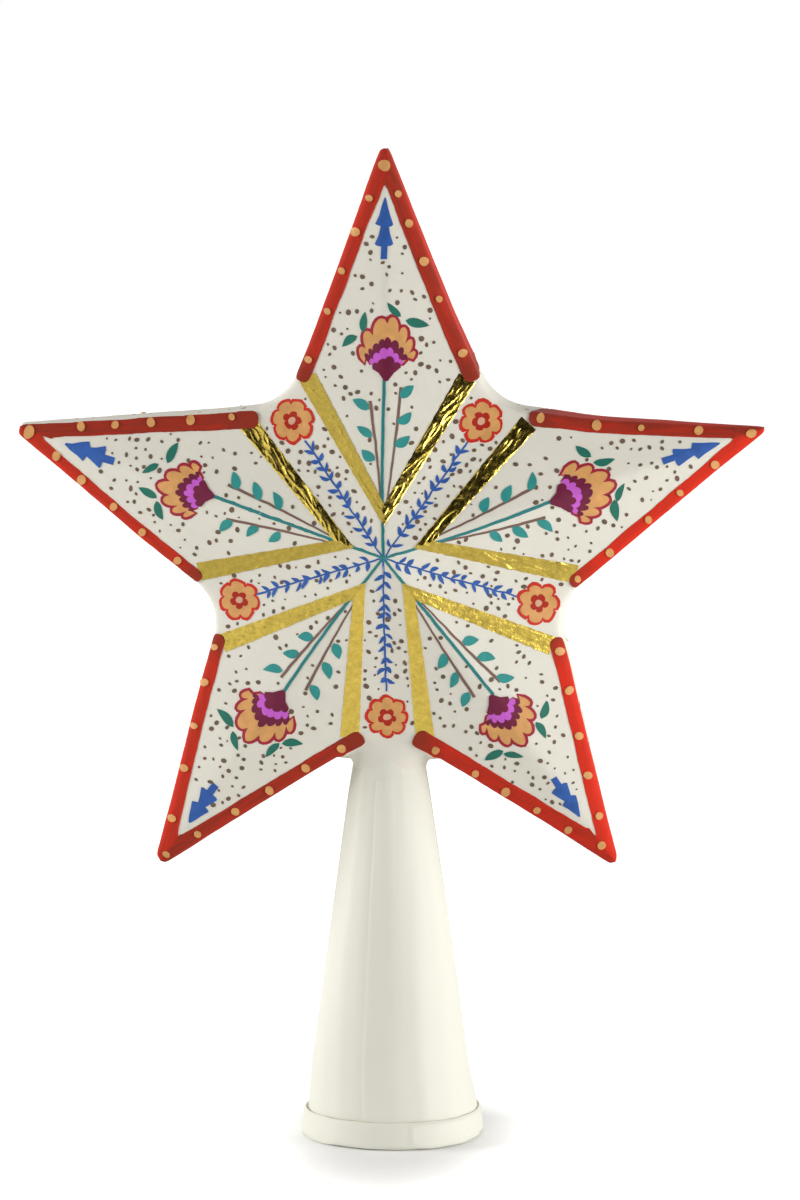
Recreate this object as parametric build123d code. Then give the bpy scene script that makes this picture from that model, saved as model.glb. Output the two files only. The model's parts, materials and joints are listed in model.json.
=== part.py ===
from build123d import *

import os
from math import atan2, cos, radians, sin, tan

# Papier-mache star for the top of a tree. Two pressed pulp half shells meet on a seam round the edge of a star
# with raised, creased arms. Paper strips cover the seam, metal foil strips are glued to both faces, and a
# rolled paper cone with a hem at its mouth runs up into the bottom notch, where a fillet of pulp holds it.
#
# Millimetres. The origin is the middle of the cone's mouth, on the surface that the star stands on. +Z is up
# and the painted front looks along -Y.

# Star, seen from the front
ARM_NAMES = ("top_arm", "left_arm", "lower_left_arm", "lower_right_arm", "right_arm")
NOTCH_NAMES = ("upper_left", "left", "lower", "right", "upper_right")
POINT_RADIUS = 107.0  # middle of the star to the sharp end of an arm, before it is rounded
NOTCH_RADIUS = 46.6  # middle of the star to the sharp corner between two arms
POINT_ROUND = 0.9
NOTCH_ROUND = 14.0
STAR_HEIGHT = 159.3  # mouth of the cone to the middle of the star

# Star, seen from the side: depths are measured from the seam to one face
PEAK_DEPTH = 27.0
POINT_DEPTH = 2.5
SHELL_WALL = 2.0

# Rolled cone
MOUTH_RADIUS = 24.4
NECK_RADIUS = 8.5  # outside of the cone where it enters the star
NECK_COVER = 2.0  # how far the star's notch is thicker than the cone's neck, on each face
CONE_INSERT = 20.0  # length of cone inside the star
CONE_WALL = 1.6

# Pasted paper and pulp
HEM_HEIGHT = 7.3
HEM_THICKNESS = 0.8  # of the hem, at the mouth
LAP_HALF_ANGLE = 14.5  # degrees each way round the cone
LAP_TURN = -3.0  # degrees from the front to the middle of the lap strip
LAP_THICKNESS = 0.35
FILLET_HEIGHT = 12.0
FILLET_EDGE = 0.25  # thickness where the pulp is feathered out on the cone
FILLET_FACE = 0.7  # thickness at the star, on the front and the back
FILLET_REACH = 9.0  # spread at the star, along the undersides of the two lower arms
SEAM_MARGIN = 0.7  # edge of a seam strip to the face of the star, at the points
SEAM_THICKNESS = 0.3

# Foil strips: gaps and widths are measured square to the valley between two arms
FOIL_INNER_GAP = 4.9
FOIL_OUTER_GAP = 7.6
FOIL_INNER_WIDTH = 3.3
FOIL_OUTER_WIDTH = 5.0
FOIL_THICKNESS = 0.15
FOIL_EDGE_MARGIN = 1.5  # foil to the edge of the star, at the strip's side towards the valley
FOIL_BORDER_MARGIN = 4.4  # the same at its other side, where it stops beside the painted border

# Fits
GLUE_GAP = 0.05
HOLE_CLEARANCE = 0.1  # cone to the hole in the star, all round

# Values that follow from the sizes above
ARM_COUNT = len(ARM_NAMES)
ARM_STEP = 360.0 / ARM_COUNT
HALF_STEP = radians(ARM_STEP / 2)
TOP_ANGLE = 90.0
FRONT_ANGLE = -90.0
NOTCH_DEPTH = NECK_RADIUS + NECK_COVER
POINT_HALF_ANGLE = atan2(NOTCH_RADIUS * sin(HALF_STEP), POINT_RADIUS - NOTCH_RADIUS * cos(HALF_STEP))
NOTCH_HALF_ANGLE = HALF_STEP + POINT_HALF_ANGLE
WEB_RADIUS = NOTCH_RADIUS + NOTCH_ROUND * (1 / sin(NOTCH_HALF_ANGLE) - 1)
SEAM_WIDTH = 2 * (POINT_DEPTH - SEAM_MARGIN)
NECK_HEIGHT = STAR_HEIGHT - WEB_RADIUS  # where the cone enters the star
CONE_LENGTH = NECK_HEIGHT + CONE_INSERT
CONE_TAPER = (MOUTH_RADIUS - NECK_RADIUS) / NECK_HEIGHT
STAR_FRAME = Plane(origin=(0, 0, STAR_HEIGHT), x_dir=(1, 0, 0), z_dir=(0, -1, 0))
FACES = {"front": 1, "back": -1}


def on_circle(radius, angle, depth=0.0):
    """A point of the star's own frame, at an angle in degrees anticlockwise from its right-hand side."""
    return Vector(radius * cos(radians(angle)), radius * sin(radians(angle)), depth)


def arm_angle(arm):
    return TOP_ANGLE + arm * ARM_STEP


def notch_angle(notch):
    return arm_angle(notch) + ARM_STEP / 2


def cone_radius(height):
    """Outside radius of the cone at a height above its mouth."""
    return MOUTH_RADIUS - CONE_TAPER * height


def star_outline(inset=0.0):
    """The star's outline, with every edge moved inwards by inset."""
    point = POINT_RADIUS - inset / sin(POINT_HALF_ANGLE)
    notch = NOTCH_RADIUS - inset / sin(NOTCH_HALF_ANGLE)
    corners = []
    for arm in range(ARM_COUNT):
        corners.append(on_circle(point, arm_angle(arm)))
        corners.append(on_circle(notch, notch_angle(arm)))
    face = make_face(Polyline(*corners, close=True))
    halfway = (point + notch) / 2
    notches = [v for v in face.vertices() if Vector(*v).length < halfway]
    face = fillet(notches, NOTCH_ROUND + inset)
    if POINT_ROUND > inset:
        points = [v for v in face.vertices() if Vector(*v).length > (point + halfway) / 2]
        face = fillet(points, POINT_ROUND - inset)
    return face


def facet_corner(angle, is_point):
    if is_point:
        return on_circle(POINT_RADIUS, angle, POINT_DEPTH)
    return on_circle(NOTCH_RADIUS, angle, NOTCH_DEPTH)


def facet_lean():
    """How much the depth changes when a facet moves one unit along its own normal."""
    peak = Vector(0, 0, PEAK_DEPTH)
    along_ridge = facet_corner(0, True) - peak
    along_valley = facet_corner(ARM_STEP / 2, False) - peak
    return 1 / along_ridge.cross(along_valley).normalized().Z


def facet_roof(lift=0.0):
    """The space behind the ten flat facets of one face, moved along their normals by lift."""
    spread = 1.25  # the facets run on past the star's outline
    peak = Vector(0, 0, PEAK_DEPTH)
    rim = []
    for step in range(2 * ARM_COUNT):
        corner = facet_corner(TOP_ANGLE + step * ARM_STEP / 2, step % 2 == 0)
        rim.append(peak + (corner - peak) * spread)
    floor = min(corner.Z for corner in rim) - POINT_DEPTH
    foot = [Vector(corner.X, corner.Y, floor) for corner in rim]
    faces = [Face(Wire.make_polygon(foot, close=True))]
    for step in range(2 * ARM_COUNT):
        following = (step + 1) % (2 * ARM_COUNT)
        faces.append(Face(Wire.make_polygon([peak, rim[step], rim[following]], close=True)))
        wall = [rim[step], foot[step], foot[following], rim[following]]
        faces.append(Face(Wire.make_polygon(wall, close=True)))
    return Pos(0, 0, lift * facet_lean()) * Solid(Shell(faces))


def half_star(inset=0.0):
    """One half of the star from the seam to its facets, with walls and facets moved inwards by inset."""
    return extrude(star_outline(inset), PEAK_DEPTH) & facet_roof(-inset)


def to_face(half, side):
    """Places a piece of the front half, or its mirror image, in the part's frame."""
    if side < 0:
        half = mirror(half, about=Plane.XY)
    return STAR_FRAME.location * half


def cone_solid(grow, low, high):
    """A full cone between two heights, grown all round."""
    base = cone_radius(low) + grow
    top = cone_radius(high) + grow
    return Pos(0, 0, low) * Cone(base, top, high - low, align=(Align.CENTER, Align.CENTER, Align.MIN))


def star_shell(side):
    hole = cone_solid(HOLE_CLEARANCE, 0, CONE_LENGTH + CONE_WALL)
    return to_face(half_star() - half_star(SHELL_WALL), side) - hole


def cone_sleeve():
    return cone_solid(0, 0, CONE_LENGTH) - cone_solid(-CONE_WALL, 0, CONE_LENGTH)


def hem_band():
    radius = MOUTH_RADIUS + HEM_THICKNESS
    band = Cylinder(radius, HEM_HEIGHT, align=(Align.CENTER, Align.CENTER, Align.MIN))
    return band - cone_solid(GLUE_GAP, 0, HEM_HEIGHT)


def fillet_half_width():
    """Half width of the neck fillet where it meets the star, along the arms."""
    return NECK_RADIUS + GLUE_GAP + FILLET_REACH


def neck_fillet():
    """Pulp round the cone, spread towards the lower arms and cut off at the underside of the star."""
    low = NECK_HEIGHT - FILLET_HEIGHT
    foot = Circle(cone_radius(low) + GLUE_GAP + FILLET_EDGE)
    head = Ellipse(fillet_half_width(), NECK_RADIUS + GLUE_GAP + FILLET_FACE)
    flare = loft([Pos(0, 0, low) * foot, Pos(0, 0, NECK_HEIGHT) * head], ruled=True)
    star_space = STAR_FRAME.location * extrude(star_outline(-GLUE_GAP), PEAK_DEPTH, both=True)
    return flare - cone_solid(GLUE_GAP, low, NECK_HEIGHT) - star_space


def wedge(middle, half_angle, reach, depth):
    """A slice of the space about the Z axis, half_angle degrees each way from its middle angle."""
    corners = [Vector(0, 0, 0), on_circle(reach, middle - half_angle), on_circle(reach, middle + half_angle)]
    return extrude(make_face(Polyline(*corners, close=True)), depth, both=True)


def cone_lap_strip():
    """A paper strip over the seam of the rolled cone, from the hem to the fillet."""
    low = HEM_HEIGHT + GLUE_GAP
    high = NECK_HEIGHT - FILLET_HEIGHT - GLUE_GAP
    skin = cone_solid(GLUE_GAP + LAP_THICKNESS, low, high) - cone_solid(GLUE_GAP, low, high)
    return skin & wedge(FRONT_ANGLE + LAP_TURN, LAP_HALF_ANGLE, 2 * MOUTH_RADIUS, CONE_LENGTH)


def seam_ring():
    """Paper along the whole seam, in the star's own frame."""
    outside = star_outline(-GLUE_GAP - SEAM_THICKNESS)
    inside = star_outline(-GLUE_GAP)
    return extrude(outside, SEAM_WIDTH / 2, both=True) - extrude(inside, SEAM_WIDTH, both=True)


def seam_strips():
    """One strip from point to point round each notch, and two that stop at the cone."""
    ring = seam_ring()
    strips = {}
    for notch, name in enumerate(NOTCH_NAMES):
        sector = wedge(notch_angle(notch), ARM_STEP / 2, 2 * POINT_RADIUS, SEAM_WIDTH)
        strip = STAR_FRAME.location * (ring & sector)
        if name != "lower":
            strips[f"seam_strip_{name}"] = strip
            continue
        gap = 2 * (fillet_half_width() + GLUE_GAP)
        halves = (strip - Pos(0, 0, NECK_HEIGHT) * Box(gap, gap, 2 * POINT_RADIUS)).solids()
        for half in halves:
            hand = "left" if half.center().X < 0 else "right"
            strips[f"seam_strip_lower_{hand}"] = half
    return strips


def ridge_corner(distance):
    """A corner of a foil strip on the ridge of an arm, as (along the valley, square to it)."""
    return distance / tan(HALF_STEP), distance


def edge_corner(distance, margin):
    """A corner of a foil strip near the edge of the star, in the same measure."""
    edge_run = (POINT_RADIUS * cos(HALF_STEP) - NOTCH_RADIUS) / (POINT_RADIUS * sin(HALF_STEP))
    return NOTCH_RADIUS + edge_run * distance - margin / sin(NOTCH_HALF_ANGLE), distance


def foil_strip(arm, turn):
    """The strip on one side of an arm, in the star's own frame. turn is 1 anticlockwise from the arm."""
    outline = (
        ridge_corner(FOIL_INNER_GAP),
        edge_corner(FOIL_OUTER_GAP, FOIL_EDGE_MARGIN),
        edge_corner(FOIL_OUTER_GAP + FOIL_OUTER_WIDTH, FOIL_BORDER_MARGIN),
        ridge_corner(FOIL_INNER_GAP + FOIL_INNER_WIDTH),
    )
    valley = arm_angle(arm) + turn * ARM_STEP / 2
    along = on_circle(1, valley)
    across = along.cross(Vector(0, 0, turn))
    corners = [along * run + across * offset for run, offset in outline]
    column = extrude(make_face(Polyline(*corners, close=True)), 2 * PEAK_DEPTH)
    return column & (facet_roof(GLUE_GAP + FOIL_THICKNESS) - facet_roof(GLUE_GAP))


def foil_strips():
    strips = {}
    for arm, arm_name in enumerate(ARM_NAMES):
        for hand, turn in (("left", 1), ("right", -1)):
            strip = foil_strip(arm, turn)
            for face_name, side in FACES.items():
                strips[f"foil_{face_name}_{arm_name}_{hand}"] = to_face(strip, side)
    return strips


def pieces():
    found = {f"star_{name}_shell": star_shell(side) for name, side in FACES.items()}
    found["cone_sleeve"] = cone_sleeve()
    found["cone_lap_strip"] = cone_lap_strip()
    found["hem_band"] = hem_band()
    found["neck_fillet"] = neck_fillet()
    found.update(seam_strips())
    found.update(foil_strips())
    return found


os.makedirs("parts", exist_ok=True)
for node, solid in pieces().items():
    export_step(solid, f"parts/{node}.step")
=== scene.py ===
import json
import math
import random
from functools import partial

import bpy
import numpy as np
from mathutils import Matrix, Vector, noise

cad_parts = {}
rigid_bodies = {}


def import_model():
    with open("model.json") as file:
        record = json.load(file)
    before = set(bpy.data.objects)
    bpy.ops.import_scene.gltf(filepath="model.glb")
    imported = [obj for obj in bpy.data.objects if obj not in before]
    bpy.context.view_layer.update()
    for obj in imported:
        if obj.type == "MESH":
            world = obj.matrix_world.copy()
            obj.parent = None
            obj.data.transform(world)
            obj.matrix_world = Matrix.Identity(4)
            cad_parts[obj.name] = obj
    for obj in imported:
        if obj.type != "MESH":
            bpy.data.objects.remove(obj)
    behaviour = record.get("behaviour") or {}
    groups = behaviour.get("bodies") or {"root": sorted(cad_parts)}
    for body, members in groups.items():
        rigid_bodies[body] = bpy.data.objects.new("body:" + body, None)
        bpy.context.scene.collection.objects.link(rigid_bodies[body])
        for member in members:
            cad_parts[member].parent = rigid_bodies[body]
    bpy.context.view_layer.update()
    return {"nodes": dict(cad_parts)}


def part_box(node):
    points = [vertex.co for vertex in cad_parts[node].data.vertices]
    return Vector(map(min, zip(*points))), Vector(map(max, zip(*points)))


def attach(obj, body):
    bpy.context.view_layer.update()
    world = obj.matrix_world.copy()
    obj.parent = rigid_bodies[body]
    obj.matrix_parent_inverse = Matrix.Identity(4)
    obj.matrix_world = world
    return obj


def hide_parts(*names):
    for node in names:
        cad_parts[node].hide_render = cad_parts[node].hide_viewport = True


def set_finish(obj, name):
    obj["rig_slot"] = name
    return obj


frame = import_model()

bl_info = {
    "name": "Painted star tree topper",
    "version": (1, 0, 0),
    "blender": (4, 5, 0),
    "location": "View3D > Sidebar > Star topper",
    "description": "Gives the papier-mache star its gesso, brushed ornament, gold foil and stage",
    "category": "Object",
}

MM = 0.001
BODY = "root"

# The star has a front and a back with the same ornament, the back turned half round about the cone.
FRONT = 1
BACK = -1
SIDES = {"front": FRONT, "back": BACK}
ARMS = ("top_arm", "left_arm", "lower_left_arm", "lower_right_arm", "right_arm")
ARM_STEP = 360.0 / len(ARMS)
HALF_STEP = math.radians(ARM_STEP / 2)
TOP_TURN = 90.0

CONE_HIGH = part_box("cone_sleeve")[1]
LAP_LOW, LAP_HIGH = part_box("cone_lap_strip")
HEM_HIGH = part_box("hem_band")[1]
FILLET_LOW, FILLET_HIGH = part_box("neck_fillet")


def linear(code):
    """Linear colour of an sRGB hex value."""
    channels = [int(code[start:start + 2], 16) / 255 for start in (0, 2, 4)]
    return tuple(c / 12.92 if c <= 0.04045 else ((c + 0.055) / 1.055) ** 2.4 for c in channels)


def length(name, description, millimetres):
    """A size for the panel, kept in metres and written in millimetres."""
    return bpy.props.FloatProperty(
        name=name, description=description, default=millimetres * MM, precision=5, unit="LENGTH"
    )


def colour(name, description, code):
    """A paint or paper colour for the panel, written as an sRGB hex value."""
    return bpy.props.FloatVectorProperty(
        name=name, description=description, default=linear(code), size=3, min=0.0, max=1.0, subtype="COLOR"
    )


def position(name, description, metres):
    """A place for the panel."""
    return bpy.props.FloatVectorProperty(
        name=name, description=description, default=metres, size=3, subtype="TRANSLATION", unit="LENGTH"
    )


def level(name, description, value, unit="NONE"):
    """A lens, a power or a strength for the panel."""
    return bpy.props.FloatProperty(name=name, description=description, default=value, min=0.0, unit=unit)


class TopperSizes(bpy.types.PropertyGroup):
    """Sizes of the star, its ornament and its cone."""

    star_height: length("Star height", "Floor to the middle of the star", 159.3)
    point_radius: length("Point radius", "Middle of the star to the sharp end of an arm", 107.0)
    notch_radius: length("Notch radius", "Middle of the star to the sharp corner of a notch", 46.6)
    peak_depth: length("Peak depth", "Seam to the middle of a face", 27.0)
    point_depth: length("Point depth", "Seam to a face at the end of an arm", 2.5)
    notch_depth: length("Notch depth", "Seam to a face at a notch", 10.5)
    skin_grain: length("Skin grain", "Size of the small faces of the gesso skin", 0.9)
    skin_rise: length("Skin rise", "Unevenness of the gesso, from hollow to hump", 0.3)
    border_width: length("Border width", "Usual width of the red border on a face", 3.6)
    flower_place: length("Flower place", "Middle of the star to the foot of a carnation", 45.1)
    rosette_place: length("Rosette place", "Middle of the star to the middle of a rosette", 42.4)
    rosette_radius: length("Rosette radius", "Middle of a rosette to the end of a petal", 5.1)
    foil_inner_gap: length("Foil inner gap", "Valley to a foil strip, near the middle of the star", 4.9)
    foil_outer_gap: length("Foil outer gap", "Valley to a foil strip, near the edge of the star", 7.6)
    foil_inner_width: length("Foil inner width", "Width of a foil strip near the middle", 3.3)
    foil_outer_width: length("Foil outer width", "Width of a foil strip near the edge", 5.0)
    mouth_radius: length("Mouth radius", "Outside radius of the cone at its mouth", 24.4)
    neck_radius: length("Neck radius", "Outside radius of the cone at the star", 8.5)
    neck_height: length("Neck height", "Mouth of the cone to the star", 110.1)
    cone_wall: length("Cone wall", "Thickness of the rolled card", 1.6)
    hem_thickness: length("Hem thickness", "How far the hem stands out from the cone", 0.9)


class TopperColours(bpy.types.PropertyGroup):
    """Colours of the gesso, papers, paints and foil."""

    gesso: colour("Gesso", "Chalk ground of the star", "E4E0D3")
    # The border mixes these two reds by a darkness set strip by strip, by streaks and at the ends
    card: colour("Card", "Gessoed card of the cone", "E4E3D6")
    red: colour("Red", "Border where its coat is thin", "D83423")
    deep_red: colour("Deep red", "Border where its coat is thick", "943628")
    rosette_red: colour("Rosette red", "Lines of the rosettes", "CB2E1F")
    heart_red: colour("Heart red", "Hearts of the rosettes", "AC2413")
    ochre: colour("Ochre", "Dots, carnations and rosettes", "D9A062")
    crimson: colour("Crimson", "Lines round the carnations", "A3263A")
    maroon: colour("Maroon", "Inner petals of the carnations", "701C3C")
    orchid: colour("Orchid", "Middle petals of the carnations", "C85FCB")
    leaf_green: colour("Leaf green", "Leaves round the carnations", "24705F")
    leaf_teal: colour("Leaf teal", "Leaves on the twigs", "32918D")
    stem_teal: colour("Stem teal", "Stems of the carnations", "2E7F80")
    twig: colour("Twig brown", "Twigs beside the stems", "7C6056")
    blue: colour("Blue", "Little trees and sprigs", "325DA8")
    speckle: colour("Speckle brown", "Speckles on the ground", "6E5A49")
    blush: colour("Blush", "Dots in the rosettes", "D8A98A")
    gold: colour("Gold", "Foil strips", "DEC25A")
    # Groove colour: partly dust and paste, partly painted shade in the crevice over the hem; also the card's
    # specks
    groove: colour("Groove brown", "Paste and dust in the groove over the hem", "D6CAB8")
    floor: colour("Floor", "Floor that the star stands on", "F7F7F5")


class TopperStage(bpy.types.PropertyGroup):
    """Camera and lights."""

    camera_place: position("Camera place", "Where the camera stands", (0.0896, -1.3971, 0.311))
    camera_aim: position("Camera aim", "Point that the camera looks at", (0.0017, 0.00013, 0.1451))
    lens: level("Lens", "Focal length in millimetres", 157.7, "CAMERA")
    right_power: level("Right lamp", "Power of the soft lamp on the right", 14.5, "POWER")
    left_power: level("Left lamp", "Power of the soft lamp on the left", 13.9, "POWER")
    sky_level: level("Sky level", "Strength of the light from all round", 0.46)


def mm(name):
    """One of the panel's sizes, in millimetres."""
    return getattr(bpy.context.scene.topper_sizes, name) / MM


def palette(name):
    """One of the panel's colours, with full opacity."""
    return (*getattr(bpy.context.scene.topper_colours, name), 1.0)


# Shader nodes and materials

MIX_FACTOR = 0
MIX_A = 6
MIX_B = 7
MIX_RESULT = 2


def set_inputs(tree, node, inputs):
    """Sets inputs of a node, by name or number, each to a value or to an output that is linked to it."""
    for name, value in inputs.items():
        if isinstance(value, bpy.types.NodeSocket):
            tree.links.new(value, node.inputs[name])
        else:
            node.inputs[name].default_value = value


def add_node(tree, kind, settings=None, inputs=None):
    """Adds a node with its settings and inputs."""
    node = tree.nodes.new(kind)
    for option, value in (settings or {}).items():
        setattr(node, option, value)
    set_inputs(tree, node, inputs or {})
    return node


def per_mm(size):
    """Scale of a pattern whose marks are so many millimetres apart."""
    return 1 / (size * MM)


def shade(code, factor):
    """A colour made lighter or darker by a factor, with its opacity kept."""
    return tuple(min(1.0, channel * factor) for channel in code[:3]) + (code[3],)


def new_material(name):
    """An empty material with its shader and the Object coordinates that its patterns read."""
    material = bpy.data.materials.new(name)
    material.use_nodes = True
    tree = material.node_tree
    place = add_node(tree, "ShaderNodeTexCoord").outputs["Object"]
    return material, tree, tree.nodes["Principled BSDF"], place


def matte_coat(name, tint, tones, clouds, marks, upright, relief, surface, specks=None):
    """A matte coat with clouds of two tones, fine marks in relief and, on request, rare specks.

    Tones are factors of the tint, upright is the scale of the marks upwards, and specks are
    (pattern, size, tint). The rest are inputs of nodes.
    """
    material, tree, shader, place = new_material(name)
    dark, light = (shade(palette(tint), factor) for factor in tones)
    cloudy = add_node(tree, "ShaderNodeTexNoise", None, {"Vector": place, **clouds})
    tone = add_node(
        tree, "ShaderNodeMix", {"data_type": "RGBA"},
        {MIX_FACTOR: cloudy.outputs["Fac"], MIX_A: dark, MIX_B: light},
    )
    if specks:
        pattern, size, speck_tint = specks
        cells = add_node(tree, "ShaderNodeTexVoronoi", None, {"Vector": place, **pattern})
        speck = add_node(
            tree, "ShaderNodeMath", {"operation": "LESS_THAN"}, {0: cells.outputs["Distance"], 1: size}
        )
        tone = add_node(
            tree, "ShaderNodeMix", {"data_type": "RGBA"},
            {MIX_FACTOR: speck.outputs["Value"], MIX_A: tone.outputs[MIX_RESULT], MIX_B: palette(speck_tint)},
        )
    drawn_out = add_node(tree, "ShaderNodeMapping", None, {"Vector": place, "Scale": (1.0, 1.0, upright)})
    fine = add_node(tree, "ShaderNodeTexNoise", None, {"Vector": drawn_out.outputs["Vector"], **marks})
    bump = add_node(tree, "ShaderNodeBump", None, {"Height": fine.outputs["Fac"], **relief})
    set_inputs(
        tree, shader,
        {"Base Color": tone.outputs[MIX_RESULT], "Normal": bump.outputs["Normal"], **surface},
    )
    return material


def gesso_brushed_on_pulp():
    """Chalk gesso brushed on pressed pulp: matte warm white with soft clouds and faint upright streaks."""
    return matte_coat(
        "gesso_brushed_on_pulp", "gesso", tones=(0.95, 1.04), upright=0.1,
        clouds={"Scale": per_mm(16), "Detail": 3.0, "Roughness": 0.55},
        marks={"Scale": per_mm(0.9), "Detail": 2.0, "Roughness": 0.5},
        relief={"Strength": 0.35, "Distance": 0.06 * MM},
        surface={"Roughness": 0.62, "Specular IOR Level": 0.35},
    )


def gessoed_card():
    """Rolled card under gesso: smoother than the star, with long faint rolling marks and rare specks."""
    return matte_coat(
        "gessoed_card", "card", tones=(0.965, 1.03), upright=0.06,
        clouds={"Scale": per_mm(22), "Detail": 3.0, "Roughness": 0.5},
        marks={"Scale": per_mm(2.2), "Detail": 3.0, "Roughness": 0.55},
        relief={"Strength": 0.3, "Distance": 0.12 * MM},
        surface={"Roughness": 0.6, "Specular IOR Level": 0.35},
        specks=({"Scale": per_mm(15)}, 0.022, "groove"),
    )


def brushed_paint(name, tint, unevenness=0.224, roughness=0.5):
    """Water paint put on with a small brush: a little shine, thicker and thinner passes, fine hair marks."""
    return matte_coat(
        name, tint, tones=(1 - unevenness, 1 + unevenness), upright=1.0,
        clouds={"Scale": per_mm(3.2), "Detail": 4.0, "Roughness": 0.6},
        marks={"Scale": per_mm(0.7), "Detail": 2.0, "Roughness": 0.5},
        relief={"Strength": 0.3, "Distance": 0.05 * MM},
        surface={"Roughness": roughness, "Specular IOR Level": 0.25},
    )


def red_border_paint():
    """Red poster paint in long strokes: streaky along the border, darker on some strips and at its ends."""
    material, tree, shader = new_material("red_poster_paint")[:3]
    # How dark each strip's red is, set strip by strip in its coat layer, with streaks and darker ends added
    layer = add_node(tree, "ShaderNodeAttribute", {"attribute_name": "coat"})
    along = add_node(tree, "ShaderNodeUVMap", {"uv_map": "UVMap"}).outputs["UV"]
    strokes = add_node(tree, "ShaderNodeMapping", None, {"Vector": along, "Scale": (6.0, 9.0, 1.0)})
    shifted = add_node(
        tree, "ShaderNodeVectorMath", {"operation": "ADD"},
        {0: strokes.outputs["Vector"], 1: layer.outputs["Vector"]},
    )
    streaks = add_node(
        tree, "ShaderNodeTexNoise", None,
        {"Vector": shifted.outputs["Vector"], "Scale": 1.0, "Detail": 3.0, "Roughness": 0.6},
    ).outputs["Fac"]
    spread = add_node(
        tree, "ShaderNodeMapRange", None,
        {"Value": streaks, "From Min": 0.3, "From Max": 0.7, "To Min": -0.22, "To Max": 0.3},
    )
    thickness = add_node(
        tree, "ShaderNodeMath", {"operation": "ADD", "use_clamp": True},
        {0: layer.outputs["Fac"], 1: spread.outputs["Result"]},
    )
    ends = add_node(tree, "ShaderNodeSeparateXYZ", None, {"Vector": along})
    dark_end = add_node(
        tree, "ShaderNodeMapRange", None,
        {"Value": ends.outputs["X"], "From Max": 0.2, "To Min": 0.9, "To Max": 0.0},
    )
    depth = add_node(
        tree, "ShaderNodeMath", {"operation": "ADD", "use_clamp": True},
        {0: thickness.outputs["Value"], 1: dark_end.outputs["Result"]},
    )
    tone = add_node(
        tree, "ShaderNodeMix", {"data_type": "RGBA"},
        {MIX_FACTOR: depth.outputs["Value"], MIX_A: palette("red"), MIX_B: palette("deep_red")},
    )
    bump = add_node(tree, "ShaderNodeBump", None, {"Strength": 0.4, "Distance": 0.05 * MM, "Height": streaks})
    set_inputs(tree, shader, {
        "Base Color": tone.outputs[MIX_RESULT], "Normal": bump.outputs["Normal"], "Roughness": 0.5,
        "Specular IOR Level": 0.03,
    })
    return material


def crinkled_gold_foil():
    """Thin brass-coloured leaf rubbed down by hand: mirror bright, with small creases, dull patches and a
    painted reflection tone for each strip.
    """
    material, tree, shader, place = new_material("crinkled_gold_foil")
    gold = palette("gold")
    patches = add_node(
        tree, "ShaderNodeTexNoise", None,
        {"Vector": place, "Scale": per_mm(1.5), "Detail": 4.0, "Roughness": 0.65},
    ).outputs["Fac"]
    worn = add_node(tree, "ShaderNodeMapRange", None, {"Value": patches, "From Min": 0.32, "From Max": 0.68})
    tone = add_node(
        tree, "ShaderNodeMix", {"data_type": "RGBA"},
        {MIX_FACTOR: worn.outputs["Result"], MIX_A: shade(gold, 0.83), MIX_B: shade(gold, 1.13)},
    )
    # Painted reflection: the tone set for each strip darkens or lightens its gold, for what it mirrors
    piece = add_node(tree, "ShaderNodeAttribute", {"attribute_name": "tone"})
    reflection_tinted = add_node(
        tree, "ShaderNodeVectorMath", {"operation": "SCALE"},
        {0: tone.outputs[MIX_RESULT], "Scale": piece.outputs["Fac"]},
    )
    dullness = add_node(
        tree, "ShaderNodeMapRange", None,
        {"Value": patches, "From Min": 0.3, "From Max": 0.7, "To Min": 0.13, "To Max": 0.32},
    )
    creases = add_node(
        tree, "ShaderNodeTexNoise", None,
        {"Vector": place, "Scale": per_mm(1.5), "Detail": 2.0, "Roughness": 0.6},
    )
    bump = add_node(
        tree, "ShaderNodeBump", None,
        {"Strength": 0.6, "Distance": 0.2 * MM, "Height": creases.outputs["Fac"]},
    )
    set_inputs(tree, shader, {
        "Base Color": reflection_tinted.outputs["Vector"], "Roughness": dullness.outputs["Result"],
        "Normal": bump.outputs["Normal"], "Metallic": 1.0,
    })
    return material


# Modelling helpers

SMOOTH_ANGLE = math.radians(42)
TOUCHING = 1e-6  # metres between points that count as one


def add_object(name, operator, **settings):
    """Runs an operator that adds an object, and names the object."""
    bpy.ops.object.select_all(action="DESELECT")
    operator(**settings)
    piece = bpy.context.object
    piece.name = name
    return piece


def select_only(*pieces):
    """Selects these pieces alone and makes the first one active."""
    bpy.ops.object.select_all(action="DESELECT")
    for piece in pieces:
        piece.select_set(True)
    bpy.context.view_layer.objects.active = pieces[0]


def apply_modifier(piece, kind, **settings):
    """Adds one modifier with its settings to a piece and applies it."""
    select_only(piece)
    modifier = piece.modifiers.new(kind.title(), kind)
    for option, value in settings.items():
        setattr(modifier, option, value)
    bpy.ops.object.modifier_apply(modifier=modifier.name)


def thicken(piece, wall):
    """Gives a sheet a wall of so many millimetres behind its face."""
    apply_modifier(piece, "SOLIDIFY", thickness=wall * MM, offset=-1.0)


def lay_on_star(piece, lift, side=None):
    """Lays a sheet on the gesso, straight from one side of the star or else where the gesso is nearest."""
    way = {"wrap_method": "NEAREST_SURFACEPOINT"}
    if side:
        way = {
            "wrap_method": "PROJECT", "use_project_y": True,
            "use_positive_direction": side == FRONT, "use_negative_direction": side == BACK,
        }
    star = bpy.data.objects["gesso_star"]
    apply_modifier(piece, "SHRINKWRAP", target=star, wrap_mode="ABOVE_SURFACE", offset=lift * MM, **way)


def join(name, pieces):
    """Joins pieces into one with a new name."""
    select_only(*pieces)
    bpy.ops.object.join()
    joined = bpy.context.object
    joined.name = name
    return joined


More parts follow.
